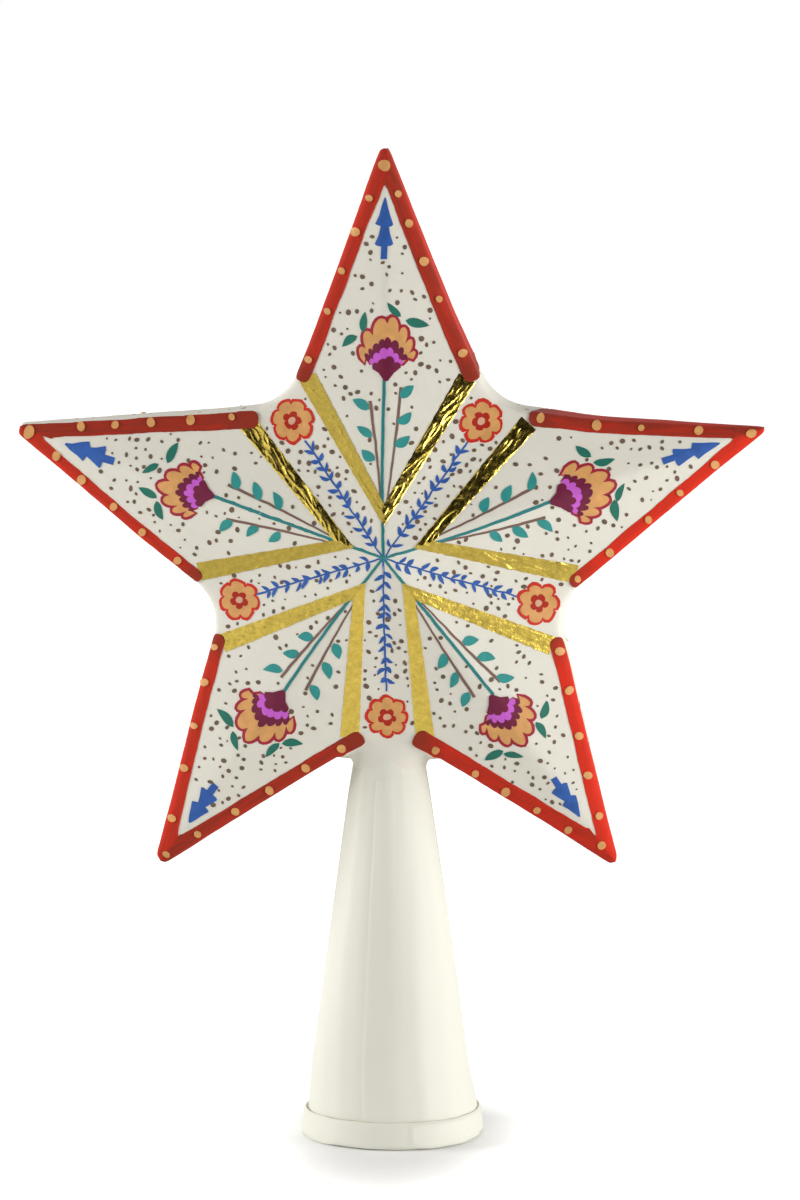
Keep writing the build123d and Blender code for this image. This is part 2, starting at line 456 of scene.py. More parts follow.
def edit_all(piece, *steps):
    """Runs edit mode steps, each on the whole mesh of a piece."""
    select_only(piece)
    bpy.ops.object.mode_set(mode="EDIT")
    for step in steps:
        bpy.ops.mesh.select_all(action="SELECT")
        step()
    bpy.ops.object.mode_set(mode="OBJECT")


def merge(piece, distance):
    """Merges points of a piece that are nearer to each other than a distance in metres."""
    edit_all(piece, partial(bpy.ops.mesh.remove_doubles, threshold=distance))


def cut(piece, planes):
    """Cuts edges into a flat piece along planes, so that it can fold there, and makes it triangles."""
    cuts = [partial(bpy.ops.mesh.bisect, plane_co=point, plane_no=normal) for point, normal in planes]
    triangles = partial(bpy.ops.mesh.quads_convert_to_tris, quad_method="BEAUTY", ngon_method="BEAUTY")
    edit_all(piece, *cuts, triangles)


def turn_out(piece, outward):
    """Turns a sheet over if most of it faces away from the directions that outward(place) gives."""
    facing = sum(face.area * face.normal.dot(outward(face.center)) for face in piece.data.polygons)
    if facing < 0:
        edit_all(piece, bpy.ops.mesh.flip_normals)


def turn_to(piece, side):
    """Turns a sheet over if most of it faces away from a side of the star."""
    turn_out(piece, lambda place: Vector((0, -side, 0)))


def raise_points(piece, side, heights):
    """Moves each point of a piece away from the seam by its own height in millimetres."""
    for vertex, height in zip(piece.data.vertices, heights):
        vertex.co.y -= side * height * MM
    piece.data.update()


def add_layer(piece, name, values):
    """Gives each point of a piece a value that a material can read."""
    piece.data.attributes.new(name, "FLOAT", "POINT").data.foreach_set("value", values)


def sheet_from_grid(name, columns, rows, rule):
    """A sheet of small faces whose points are put in place by rule(s, t), s and t running from 0 to 1."""
    grid = bpy.ops.mesh.primitive_grid_add
    piece = add_object(name, grid, x_subdivisions=columns, y_subdivisions=rows, size=1.0)
    for vertex in piece.data.vertices:
        vertex.co = rule(vertex.co.x + 0.5, vertex.co.y + 0.5)
    return piece


def finish(piece, slot, material, nodes=()):
    """Gives a piece its material, body and slot, and hides the solids that it stands for."""
    select_only(piece)
    bpy.ops.object.shade_smooth_by_angle(angle=SMOOTH_ANGLE)
    piece.data.materials.clear()
    piece.data.materials.append(material)
    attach(piece, BODY)
    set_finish(piece, slot)
    if nodes:
        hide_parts(*nodes)


# Places on the star

def arm_turn(arm):
    """Direction of an arm in degrees, anticlockwise from the right."""
    return TOP_TURN + arm * ARM_STEP


def valley_turn(arm):
    """Direction of the valley that follows an arm."""
    return arm_turn(arm) + ARM_STEP / 2


def star_middle():
    """Middle of the star, as a point of the shared frame."""
    return Vector((0, 0, mm("star_height") * MM))


def spoke(turn, along, across):
    """Plan point, in millimetres from the star's middle: along a direction, and across it to the right."""
    angle = math.radians(turn)
    return Vector((
        along * math.cos(angle) + across * math.sin(angle),
        along * math.sin(angle) - across * math.cos(angle),
    ))


def on_face(side, plan, depth):
    """Point of the shared frame over a plan point of one face, at a depth in millimetres from the seam."""
    return Vector((side * plan.x, -side * depth, mm("star_height") + plan.y)) * MM


def facet_depth(along, across):
    """Depth of a face at a place on an arm, along its ridge and across it."""
    notch_along = mm("notch_radius") * math.cos(HALF_STEP)
    notch_across = mm("notch_radius") * math.sin(HALF_STEP)
    fall = (mm("peak_depth") - mm("point_depth")) / mm("point_radius")
    lean = (mm("peak_depth") - fall * notch_along - mm("notch_depth")) / notch_across
    return mm("peak_depth") - fall * along - lean * abs(across)


def edge_frame():
    """Sharp notch corner, unit run from it to the point, unit step inwards and length of a right edge."""
    corner = Vector((math.cos(HALF_STEP), math.sin(HALF_STEP))) * mm("notch_radius")
    reach = Vector((mm("point_radius"), 0)) - corner
    run = reach.normalized()
    return corner, run, Vector((run.y, -run.x)), reach.length


def crease_planes(offsets):
    """Planes through the star's middle that hold its ridges and valleys, and planes beside them."""
    middle = star_middle()
    planes = []
    for line in range(len(ARMS)):
        angle = math.radians(TOP_TURN + line * ARM_STEP / 2)
        normal = Vector((-math.sin(angle), 0, math.cos(angle)))
        planes += [(middle + normal * offset * MM, normal) for offset in offsets]
    return planes


def dice_planes(spacing):
    """Upright and level planes across the whole star."""
    steps = int(mm("point_radius") / spacing)
    planes = []
    for normal in (Vector((1, 0, 0)), Vector((0, 0, 1))):
        for step in range(-steps, steps + 1):
            planes.append((star_middle() + normal * step * spacing * MM, normal))
    return planes


# Places on the cone

def cone_radius(height):
    """Outside radius of the cone at a height above its mouth, in millimetres."""
    taper = (mm("mouth_radius") - mm("neck_radius")) / mm("neck_height")
    return mm("mouth_radius") - taper * height


def round_cone(angle, radius, height):
    """Point of the shared frame at an angle from the front, a radius and a height, in millimetres."""
    return Vector((radius * math.sin(angle), -radius * math.cos(angle), height)) * MM


def ring_noise(angle, height, wave):
    """Smooth unevenness round the cone; a wave is its rise, its size in millimetres and its seed."""
    rise, size, seed = wave
    radius = mm("mouth_radius")
    place = Vector((radius * math.sin(angle), radius * math.cos(angle), height)) / size
    return rise * noise.noise(place + Vector((seed, 0, 0)))


# Brush marks, all in millimetres on the star's plan

SOFT_CREASE = (-2.2, -1.0, 0.0, 1.0, 2.2)  # where paint bends over a softened ridge or valley
NARROW_CREASE = (-0.2, 0.0, 0.2)  # the same for a line that runs along the crease
OVERHANG = 60.0  # paint starts this far out before it is laid down on the gesso
PAINT_SINK = 0.08  # how far a coat of paint goes into the gesso under it
OFF_STAR = 1.0  # a coat this far over the peak of a face has missed the gesso
TREMBLE_SIZE = 2.6
TREMBLE_SEED = 7.3
TREMBLE_SHIFT = Vector((19.3, 7.7, 4.1))  # from the noise for one direction to that for the other
LEAF_STEPS = 7
LEAF_FULLNESS = 0.8
STROKE_STEPS = 40
PETAL_FULLNESS = 0.6
LOBE_STEPS = 7
LOBE_FULLNESS = 0.65
LOBE_WIDTHS = (0.8, 1.2)
LOBE_RISE = 0.4
FAN_FOOT = 0.8  # spread of a fan's foot, as a share of its own


def either_way(rng, spread):
    """A random amount up to spread, one way or the other."""
    return rng.uniform(-spread, spread)


def anticlockwise(outline):
    """The outline in one turning sense, whichever way it was drawn."""
    following = outline[1:] + outline[:1]
    area = sum(p.x * q.y - q.x * p.y for p, q in zip(outline, following))
    return outline if area > 0 else outline[::-1]


def grown(outline, amount):
    """The outline moved outwards all round, as a painted line round a shape needs."""
    points = anticlockwise(outline)
    result = []
    for before, point, after in zip(points[-1:] + points[:-1], points, points[1:] + points[:1]):
        along = after - before
        result.append(point + Vector((along.y, -along.x)).normalized() * amount)
    return result


def tremble(point, amount, seed):
    """Moves a plan point a little, as an unsteady hand does."""
    place = Vector((point.x, point.y, seed * TREMBLE_SEED)) / TREMBLE_SIZE
    return point + amount * Vector((noise.noise(place), noise.noise(place + TREMBLE_SHIFT)))


def lay_outlines(name, outlines, place):
    """A flat mesh with one face for each outline, its points put in place by a rule."""
    circle = bpy.ops.mesh.primitive_circle_add
    piece = add_object(name, circle, vertices=len(outlines[0]), fill_type="NGON")
    bpy.ops.object.mode_set(mode="EDIT")
    for outline in outlines[1:]:
        circle(vertices=len(outline), fill_type="NGON")
    bpy.ops.object.mode_set(mode="OBJECT")
    points = [place(point) for outline in outlines for point in outline]
    for vertex, point in zip(piece.data.vertices, points):
        vertex.co = point
    piece.data.update()
    return piece


def paint_coat(name, outlines, side, paint, lift, hand=0.14, offsets=SOFT_CREASE, dice=None):
    """Brushes outlines on one face of the star as a thin coat that follows its creases."""
    drawn = [anticlockwise([tremble(p, hand, side) for p in outline]) for outline in outlines]
    coat = lay_outlines(name, drawn, lambda plan: on_face(side, plan, OVERHANG))
    turn_to(coat, side)
    cut(coat, crease_planes(offsets) + (dice_planes(dice) if dice else []))
    lay_on_star(coat, lift, side)
    if any(abs(vertex.co.y) > (mm("peak_depth") + OFF_STAR) * MM for vertex in coat.data.vertices):
        raise RuntimeError(f"{name} runs off the edge of the star")
    thicken(coat, lift + PAINT_SINK)
    finish(coat, "painted_pulp", paint)


def ellipse(centre, half_length, half_width, turn, points):
    """A round or long dab of paint."""
    outline = []
    for step in range(points):
        angle = 2 * math.pi * step / points
        outline.append(centre + spoke(turn, half_length * math.cos(angle), half_width * math.sin(angle)))
    return outline


def leaf(base, tip, width, bend):
    """A pointed oval between two plan points, bent sideways by a share of its length."""
    along = tip - base
    across = Vector((along.y, -along.x)).normalized()
    right = []
    left = []
    for step in range(1, LEAF_STEPS):
        t = step / LEAF_STEPS
        middle = base + along * t + across * along.length * bend * math.sin(math.pi * t)
        half = across * (width / 2) * math.sin(math.pi * t ** LEAF_FULLNESS) ** LEAF_FULLNESS
        right.append(middle + half)
        left.append(middle - half)
    return [base] + right + [tip] + left[::-1]


def stroke(start, end, start_width, end_width, sag):
    """A brush line between two plan points, bowed sideways by sag, that gets thinner or thicker evenly."""
    along = end - start
    across = Vector((along.y, -along.x)).normalized()
    right = []
    left = []
    for step in range(STROKE_STEPS + 1):
        t = step / STROKE_STEPS
        middle = start + along * t + across * sag * math.sin(math.pi * t)
        half = across * (start_width + (end_width - start_width) * t) / 2
        right.append(middle + half)
        left.append(middle - half)
    return right + left[::-1]


def rosette(centre, radius, petals, depth, turn, steps):
    """A flower seen from above, with round petals."""
    outline = []
    for step in range(petals * steps):
        share = step / steps
        reach = radius - depth * (1 - abs(math.sin(math.pi * share)) ** PETAL_FULLNESS)
        outline.append(centre + spoke(turn + 360 * share / petals, reach, 0))
    return outline


def lobe_spans(rng, lobes):
    """Uneven lobes of a hand-painted fan as (start, end, rise), with start and end in shares of it."""
    widths = [rng.uniform(*LOBE_WIDTHS) for lobe in range(lobes)]
    ends = [sum(widths[:lobe + 1]) / sum(widths) for lobe in range(lobes)]
    return [(start, end, either_way(rng, LOBE_RISE)) for start, end in zip([0.0] + ends, ends)]


def fan(reach, flank, spread, spans, depth, foot):
    """A scalloped fan as (along, across) points from its foot: reach in the middle, flank at its two ends."""
    outline = []
    for start, end, rise in spans:
        for step in range(LOBE_STEPS):
            share = start + (end - start) * step / LOBE_STEPS
            bulge = math.sin(math.pi * step / LOBE_STEPS) ** LOBE_FULLNESS
            radius = reach - (reach - flank) * abs(2 * share - 1) + rise * bulge - depth * (1 - bulge)
            angle = math.radians(spread) * (2 * share - 1)
            outline.append((radius * math.cos(angle), radius * math.sin(angle)))
    side = math.radians(spread * FAN_FOOT)
    half_way = (flank + foot) / 2
    for radius, angle in ((half_way, side), (foot, side), (foot, -side), (half_way, -side)):
        outline.append((radius * math.cos(angle), radius * math.sin(angle)))
    return outline


# Operators, one for each piece or group of like pieces

class TOPPER_OT_gesso_star(bpy.types.Operator):
    """Makes the star's gesso skin, one smooth coat over the two shells, the seam paper and the neck"""

    bl_idname = "topper.gesso_star"
    bl_label = "Gesso star"

    SMOOTHING = 14
    FEATHER = 12.0  # height over which the neck thins out on the cone
    UNDER_CARD = 0.3  # depth in the card at which it ends
    POINT_KEEP = 9.0  # length of an arm's end that is smoothed less
    CRISPNESS = 0.8  # how much less
    HUMP_SIZE = 20.0
    PLUG_TOP = 32.0
    PLUG_GROWTH = 0.1
    BORE_BELOW = 5.0  # how far below the neck the cut for the bore starts
    CORE_SIDES = 96

    def execute(self, context):
        covered = [n for n in frame["nodes"] if n.startswith(("star_", "seam_strip_")) or n == "neck_fillet"]
        copies = [self.loose_copy(node) for node in covered]
        plug = self.cone_core("neck_plug", FILLET_LOW.z, FILLET_LOW.z + self.PLUG_TOP * MM, self.PLUG_GROWTH)
        star = join("gesso_star", copies + [plug])
        merge(star, TOUCHING)
        apply_modifier(star, "REMESH", mode="VOXEL", voxel_size=mm("skin_grain") * MM, adaptivity=0.0)
        self.keep_points(star)
        apply_modifier(star, "SMOOTH", factor=0.5, iterations=self.SMOOTHING, vertex_group="soft")
        self.feather_neck(star)
        humps = bpy.data.textures.new("gesso_humps", "CLOUDS")
        humps.noise_scale = self.HUMP_SIZE * MM
        rise = mm("skin_rise") * MM
        apply_modifier(star, "DISPLACE", texture=humps, texture_coords="LOCAL", strength=rise, mid_level=0.5)
        self.open_bore(star)
        finish(star, "painted_pulp", gesso_brushed_on_pulp(), covered)
        return {"FINISHED"}

    def loose_copy(self, node):
        """A copy of a solid's mesh that is free of the frame."""
        copy = frame["nodes"][node].copy()
        copy.data = copy.data.copy()
        copy.parent = None
        for key in list(copy.keys()):
            del copy[key]
        bpy.context.scene.collection.objects.link(copy)
        return copy

    def cone_core(self, name, low, high, growth):
        """A solid slice of the cone's space between two heights, grown all round by so many millimetres."""
        core = add_object(
            name, bpy.ops.mesh.primitive_cone_add, vertices=self.CORE_SIDES, depth=high - low,
            radius1=(cone_radius(low / MM) + growth) * MM, radius2=(cone_radius(high / MM) + growth) * MM,
            location=(0, 0, (low + high) / 2),
        )
        bpy.ops.object.transform_apply(location=True, rotation=True, scale=True)
        return core

    def keep_points(self, star):
        """A vertex group that leaves the ends of the arms crisper than the rest."""
        soft = star.vertex_groups.new(name="soft")
        middle = star_middle()
        whole = mm("point_radius") - 2 * self.POINT_KEEP
        for vertex in star.data.vertices:
            past = ((vertex.co - middle).length / MM - whole) / self.POINT_KEEP
            soft.add([vertex.index], 1 - self.CRISPNESS * min(1.0, max(0.0, past)), "REPLACE")

    def feather_neck(self, star):
        """Thins the skin out downwards, so that it runs on to the cone without an edge."""
        for vertex in star.data.vertices:
            share = (vertex.co.z - FILLET_LOW.z) / (self.FEATHER * MM)
            if share > 1 or abs(vertex.co.x) > FILLET_HIGH.x:
                continue
            share = max(0.0, share)
            radius = math.hypot(vertex.co.x, vertex.co.y)
            under = (cone_radius(vertex.co.z / MM) - self.UNDER_CARD) * MM
            if radius > under:
                factor = (under + (radius - under) * share * share * (3 - 2 * share)) / radius
                vertex.co.x *= factor
                vertex.co.y *= factor

    def open_bore(self, star):
        """Cuts the cone's bore into the neck, so that the sleeve stays open from below."""
        low = FILLET_LOW.z - self.BORE_BELOW * MM
        core = self.cone_core("bore_core", low, CONE_HIGH.z, -mm("cone_wall") / 2)
        apply_modifier(star, "BOOLEAN", operation="DIFFERENCE", object=core, solver="EXACT")
        bpy.data.objects.remove(core)


class TOPPER_OT_rolled_cone(bpy.types.Operator):
    """Makes the rolled card cone with its lap, the hem round its mouth and a line of dust and painted shade
    in the groove over the hem
    """

    bl_idname = "topper.rolled_cone"
    bl_label = "Rolled cone"

    ROLL = 0.34  # unevenness of the hand-rolled card
    ROLL_WAVES = ((0.2, (1.0, 13.0, 3.1)), (0.1, (0.8, 6.0, 8.2)))  # scale upwards, and the wave
    CARD_FOOT = 0.25  # the wall leans, so that its inside reaches lower than its outside
    CARD_GRID = (160, 70)
    RIM_BEVEL = 0.3
    LAP_TURN = math.radians(-3.0)
    LAP_HALF = math.radians(14.5)
    LAP_BELOW = 1.0
    LAP_GRID = (28, 70)
    LAP_THICKNESS = 0.2
    LAP_EDGE = 0.03  # thickness at its two edges
    LAP_SLOPES = (12, 2.2)  # how fast it gets thicker from the left and the right
    LAP_SINK = 0.1
    LAP_DRIFT = 0.012  # radians that its edges wander
    LAP_WAVE = (9.0, 14.0, 5.0)  # waves across it, their height and their seed
    HEM_GRID = (220, 16)
    # waves of its upper edge, its lower edge and its surface
    HEM_TOP_WAVE = (0.35, 9.0, 1.7)
    HEM_FOOT_WAVE = (0.7, 10.0, 4.4)
    HEM_HUMPS = (0.12, 6.0, 9.6)
    HEM_FOOT = 0.5
    HEM_CORNER = math.radians(14)  # where the two ends of the hem overlap
    HEM_OVERLAP = (0.3, 0.9)  # its height, and the angle over which it is lost again
    HEM_ROUNDING = (5, 7)  # how fast it gets thicker from its lower and its upper edge
    HEM_EDGE = (0.55, 0.45)  # share of its thickness at its edges, and what is added between them
    GROOVE_ROWS = 3
    GROOVE_DEPTH = 0.8  # how far the line of paste and painted shade goes down behind the hem
    GROOVE_SHOW = (0.02, 0.2, 0.05)  # what shows of it everywhere, and more in places
    GROOVE_WAVE = (1.0, 5.0, 6.3)
    GROOVE_LIFT = 0.24
    GROOVE_WALL = 0.3

    def execute(self, context):
        self.sleeve()
        self.lap()
        self.hem()
        self.groove()
        return {"FINISHED"}

    def card_radius(self, angle, height):
        """Outside radius of the card with its unevenness."""
        roll = sum(ring_noise(angle, height * scale, wave) for scale, wave in self.ROLL_WAVES)
        return cone_radius(height) + self.ROLL * roll

    def ring(self, name, grid, rule, wall):
        """A closed band round the cone, with a wall that grows inwards."""
        band = sheet_from_grid(name, *grid, rule)
        merge(band, TOUCHING)
        turn_out(band, lambda place: Vector((place.x, place.y, 0)))
        thicken(band, wall)
        return band

    def sleeve(self):
        low = self.CARD_FOOT
        high = CONE_HIGH.z / MM

        def place(s, t):
            angle = 2 * math.pi * s
            height = low + (high - low) * t
            return round_cone(angle, self.card_radius(angle, height), height)

        sleeve = self.ring("rolled_cone", self.CARD_GRID, place, mm("cone_wall"))
        bevel = self.RIM_BEVEL * MM
        apply_modifier(sleeve, "BEVEL", width=bevel, segments=2, limit_method="ANGLE", angle_limit=1.0)
        finish(sleeve, "rolled_card", gessoed_card(), ["cone_sleeve"])

    def lap(self):
        low = LAP_LOW.z / MM - self.LAP_BELOW
        high = LAP_HIGH.z / MM
        across, upwards, seed = self.LAP_WAVE
        from_left, from_right = self.LAP_SLOPES

        def place(s, t):
            height = low + (high - low) * t
            drift = self.LAP_DRIFT * noise.noise(Vector((s * across, height / upwards, seed)))
            angle = self.LAP_TURN + self.LAP_HALF * (2 * s - 1) + drift
            feather = min(1.0, from_left * s, from_right * (1 - s))
            lift = self.LAP_EDGE + (self.LAP_THICKNESS - self.LAP_EDGE) * feather
            return round_cone(angle, self.card_radius(angle, height) + lift, height)

        strip = sheet_from_grid("cone_lap", *self.LAP_GRID, place)
        turn_to(strip, FRONT)
        thicken(strip, self.LAP_THICKNESS + self.LAP_SINK)
        finish(strip, "pasted_paper", bpy.data.materials["gessoed_card"], ["cone_lap_strip"])

    def hem_top(self, angle):
        """Height of the hem's upper edge, cut by hand."""
        return HEM_HIGH.z / MM + ring_noise(angle, 0, self.HEM_TOP_WAVE)

    def hem(self):
        overlap_height, overlap_run = self.HEM_OVERLAP
        from_below, from_above = self.HEM_ROUNDING
        at_edge, between = self.HEM_EDGE

        def place(s, t):
            angle = 2 * math.pi * s
            foot = self.HEM_FOOT + ring_noise(angle, 0, self.HEM_FOOT_WAVE)
            height = foot + (self.hem_top(angle) - foot) * t
            past_corner = (angle - self.HEM_CORNER) % (2 * math.pi)
            overlap = overlap_height * math.exp(-past_corner / overlap_run)
            edge = min(1.0, from_below * t, from_above * (1 - t))
            stand = mm("hem_thickness") * (at_edge + between * math.sqrt(edge)) + overlap * edge
            stand += ring_noise(angle, height, self.HEM_HUMPS)
            return round_cone(angle, cone_radius(height) + stand, height)

        band = self.ring("hem_band_paper", self.HEM_GRID, place, mm("hem_thickness"))
        finish(band, "pasted_paper", bpy.data.materials["gessoed_card"], ["hem_band"])

    # Painted shade: a thin ring of darker paint in the crevice over the hem, partly for paste and dust,
    # partly for the shade there
    def groove(self):
        everywhere, more, bias = self.GROOVE_SHOW

        def place(s, t):
            angle = 2 * math.pi * s
            show = everywhere + more * max(0.0, bias + ring_noise(angle, 0, self.GROOVE_WAVE))
            height = self.hem_top(angle) - self.GROOVE_DEPTH + (self.GROOVE_DEPTH + show) * t
            return round_cone(angle, self.card_radius(angle, height) + self.GROOVE_LIFT, height)

        grid = (self.HEM_GRID[0], self.GROOVE_ROWS)
        line = self.ring("hem_groove_line", grid, place, self.GROOVE_WALL)
        finish(line, "pasted_paper", brushed_paint("paste_dust_and_shade_line", "groove", 0.4, 0.8))


class TOPPER_OT_red_border(bpy.types.Operator):
    """Brushes the red border along both edges of each arm, with its ochre dots"""

    bl_idname = "topper.red_border"
    bl_label = "Red border"

    SEED = 40
    END_ROUND = 2.2
    RIM = 1.2  # what of a strip lies on the rounded rim
    WALL_RUN = 6.0  # length over which a strip reaches its full width on the wall
    COAT = 0.15
    END_COAT = 0.3  # what the coat is thicker at a notch, where it covers the ends of the foil
    THIN_ON_WALL = 0.3
    DOT_COAT = 0.46
    INNER_ROUND = 0.6  # of the bare ground where the two strips of an arm meet
    BACK_WRAP = 0.3
    MERGE = 0.002  # points that fall together where a strip narrows
    CROWDING = 1.25  # brings the columns of a strip closer together near the notch
    COLUMNS = 150
    ROWS = (20, 48)  # of a narrow strip and of one that covers the wall
    # waves of a strip's inner and outer edge: height, length and seed
    INNER_WAVES = ((0.25, 8, 0), (0.1, 2.2, 4))
    OUTER_WAVES = ((0.3, 6, 9),)
    BARE_WALL = 0.8  # of a wall that two strips cover from the front and the back
    BRUSH_MIDDLE = 0.45  # where the brush ran, as a share of the width on the face
    PAST_EDGE = 0.15  # how far out a strip's points on the wall start, before they are laid on it
    END_RUN = 6.0  # length over which the coat gets as thin as elsewhere
    # each arm's right and left strip: how dark its red is, from 0 to 1, how much wider it is than usual
    # at the point and at the notch, how far it goes round on to the wall at the front, and its end from
    # the notch corner
    STRIPS = {
        "top_arm": ((0.72, 0.25, 0.25, 20.0, 8.6), (0.5, 0.05, 0.05, 1.7, 8.3)),
        "left_arm": ((0.85, -0.1, 1.4, 0.0, 6.7), (0.4, -0.9, -0.2, 1.7, 8.4)),
        "lower_left_arm": ((0.4, -0.2, -0.2, 1.7, 8.0), (0.75, 0.1, 0.1, 1.7, 6.8)),
        "lower_right_arm": ((0.35, 0.9, 1.1, 1.7, 7.3), (0.05, -0.15, -0.15, 3.0, 8.2)),
        "right_arm": ((0.1, -0.2, -0.2, 1.7, 7.2), (0.7, -0.1, -0.1, 20.0, 10.0)),
    }
    # places of the dots on each arm's right and left strip, from the point
    DOTS = {
        "top_arm": ((13.6, 21.7, 32.2, 42.6, 57.9), (14.8, 24.3, 35.0, 46.1, 60.0)),
        "left_arm": ((18.5, 28.0, 38.0, 49.0, 60.5), (14.0, 23.5, 35.0, 45.5, 58.0)),
        "lower_left_arm": ((13.6, 28.0, 40.0, 52.5, 62.8), (14.1, 26.4, 37.5, 49.3, 60.7)),
        "lower_right_arm": ((16.8, 27.2, 37.4, 47.3, 60.2), (15.0, 27.0, 38.5, 51.5, 62.5)),
        "right_arm": ((17.5, 29.5, 40.5, 54.0, 65.0), (19.0, 34.5, 46.5, 61.5)),
    }
    # strips whose dots are nearer to the edge than usual
    NEAR_EDGE = {("top_arm", -1): 0.3, ("lower_left_arm", 1): 0.5, ("right_arm", -1): 0.25}
    DOT_INSET = 1.75
    DOT_SIZES = (0.85, 1.3)
    DOT_DRIFT = (-0.2, 0.25)
    DOT_FLATNESS = (0.85, 1.0)
    DOT_POINTS = 14
    # place of the dot at the end of each arm, from the middle of the star, and its radius
    TIP_DOTS = ((101.1, 1.5), (102.4, 1.35), (103.0, 0.75), (99.6, 1.1), (101.9, 1.4))
    TIP_DRIFT = 0.3
    TIP_FLATNESS = 0.93

    def execute(self, context):
        red = red_border_paint()
        ochre = brushed_paint("ochre_dots_paint", "ochre", 0.32)
        for face, side in SIDES.items():
            self.border(face, side, red)
            self.dots(face, side, ochre)
        return {"FINISHED"}

    def border(self, face, side, red):
        strips = [self.edge_strip(side, arm, hand) for arm in range(len(ARMS)) for hand in (1, -1)]
        border = join(f"red_border_{face}", strips)
        lay_on_star(border, self.COAT)
        raise_points(border, side, [point.value for point in border.data.attributes["rise"].data])
        thicken(border, self.COAT + PAINT_SINK)
        finish(border, "painted_pulp", red)

    def waves(self, e, seed, waves):
        """Unsteadiness of a strip's edge at a place along it."""
        return sum(height * noise.noise(Vector((e / size, seed, layer))) for height, size, layer in waves)

    def edge_strip(self, side, arm, hand):
        """One brushed strip from notch to point, on the right (hand 1) or left (hand -1) of an arm."""
        coat, point_extra, notch_extra, wrap, start = self.STRIPS[ARMS[arm]][0 if hand == 1 else 1]
        wrap = wrap if side == FRONT else self.BACK_WRAP
        corner, run, inward, edge_length = edge_frame()
        run_slope = -run.y / run.x
        seed = arm * 5.0 + hand + side * 31.0
        rises = []
        coats = []

        def place(s, t):
            done = (edge_length - start) * s ** self.CROWDING
            e = start + done
            inner = mm("border_width") + point_extra + (notch_extra - point_extra) * (1 - e / edge_length)
            inner += self.waves(e, seed, self.INNER_WAVES)
            edge = corner + run * e
            outer = min(wrap, 2 * facet_depth(edge.x, edge.y) - self.BARE_WALL)
            outer += self.waves(e, seed, self.OUTER_WAVES) if wrap else 0.0
            past = min(max(e - edge_length + (inner + self.INNER_ROUND) / run_slope, 0.0), self.INNER_ROUND)
            inner += self.INNER_ROUND - math.sqrt(self.INNER_ROUND ** 2 - past ** 2)
            inner += 2 * self.INNER_ROUND if past == self.INNER_ROUND else 0.0
            taper = math.sqrt(1 - max(0.0, 1 - done / self.END_ROUND) ** 2)
            middle = inner * self.BRUSH_MIDDLE
            on_wall = max(0.0, outer - self.RIM) * min(1.0, done / self.WALL_RUN)
            halves = ((middle + min(outer, self.RIM)) * taper + on_wall, (inner - middle) * taper)
            w = middle + (2 * t - 1) * halves[t > 0.5]
            plan = edge + inward * min(max(w, -self.PAST_EDGE), edge.y / -inward.y)
            rises.append(self.END_COAT * max(0.0, 1 - done / self.END_RUN))
            coats.append(coat if w > -self.RIM else coat - self.THIN_ON_WALL)
            depth = facet_depth(plan.x, plan.y) - max(0.0, -w)
            return on_face(side, spoke(arm_turn(arm), plan.x, hand * plan.y), depth)

        strip = sheet_from_grid("edge_strip", self.COLUMNS, self.ROWS[wrap > self.WALL_RUN], place)
        turn_to(strip, side)
        add_layer(strip, "coat", coats)
        add_layer(strip, "rise", rises)
        merge(strip, self.MERGE * MM)
        return strip

    def dots(self, face, side, ochre):
        corner, run, inward, edge_length = edge_frame()
        rng = random.Random(self.SEED + side)
        outlines = []
        for arm, arm_name in enumerate(ARMS):
            turn = arm_turn(arm)
            reach, size = self.TIP_DOTS[arm]
            centre = spoke(turn, reach, either_way(rng, self.TIP_DRIFT))
            outlines.append(ellipse(centre, size, size * self.TIP_FLATNESS, turn, self.DOT_POINTS))
            for hand, places in zip((1, -1), self.DOTS[arm_name]):
                inset = self.DOT_INSET - self.NEAR_EDGE.get((arm_name, hand), 0.0)
                for place in places:
                    spot = corner + run * (edge_length - place)
                    spot += inward * (inset + rng.uniform(*self.DOT_DRIFT))
                    size = rng.uniform(*self.DOT_SIZES)
                    centre = spoke(turn, spot.x, hand * spot.y)
                    width = size * rng.uniform(*self.DOT_FLATNESS)
                    outlines.append(ellipse(centre, size, width, rng.uniform(0, 180), self.DOT_POINTS))
        paint_coat(f"border_dots_{face}", outlines, side, ochre, self.DOT_COAT, hand=0.1, dice=0.9)


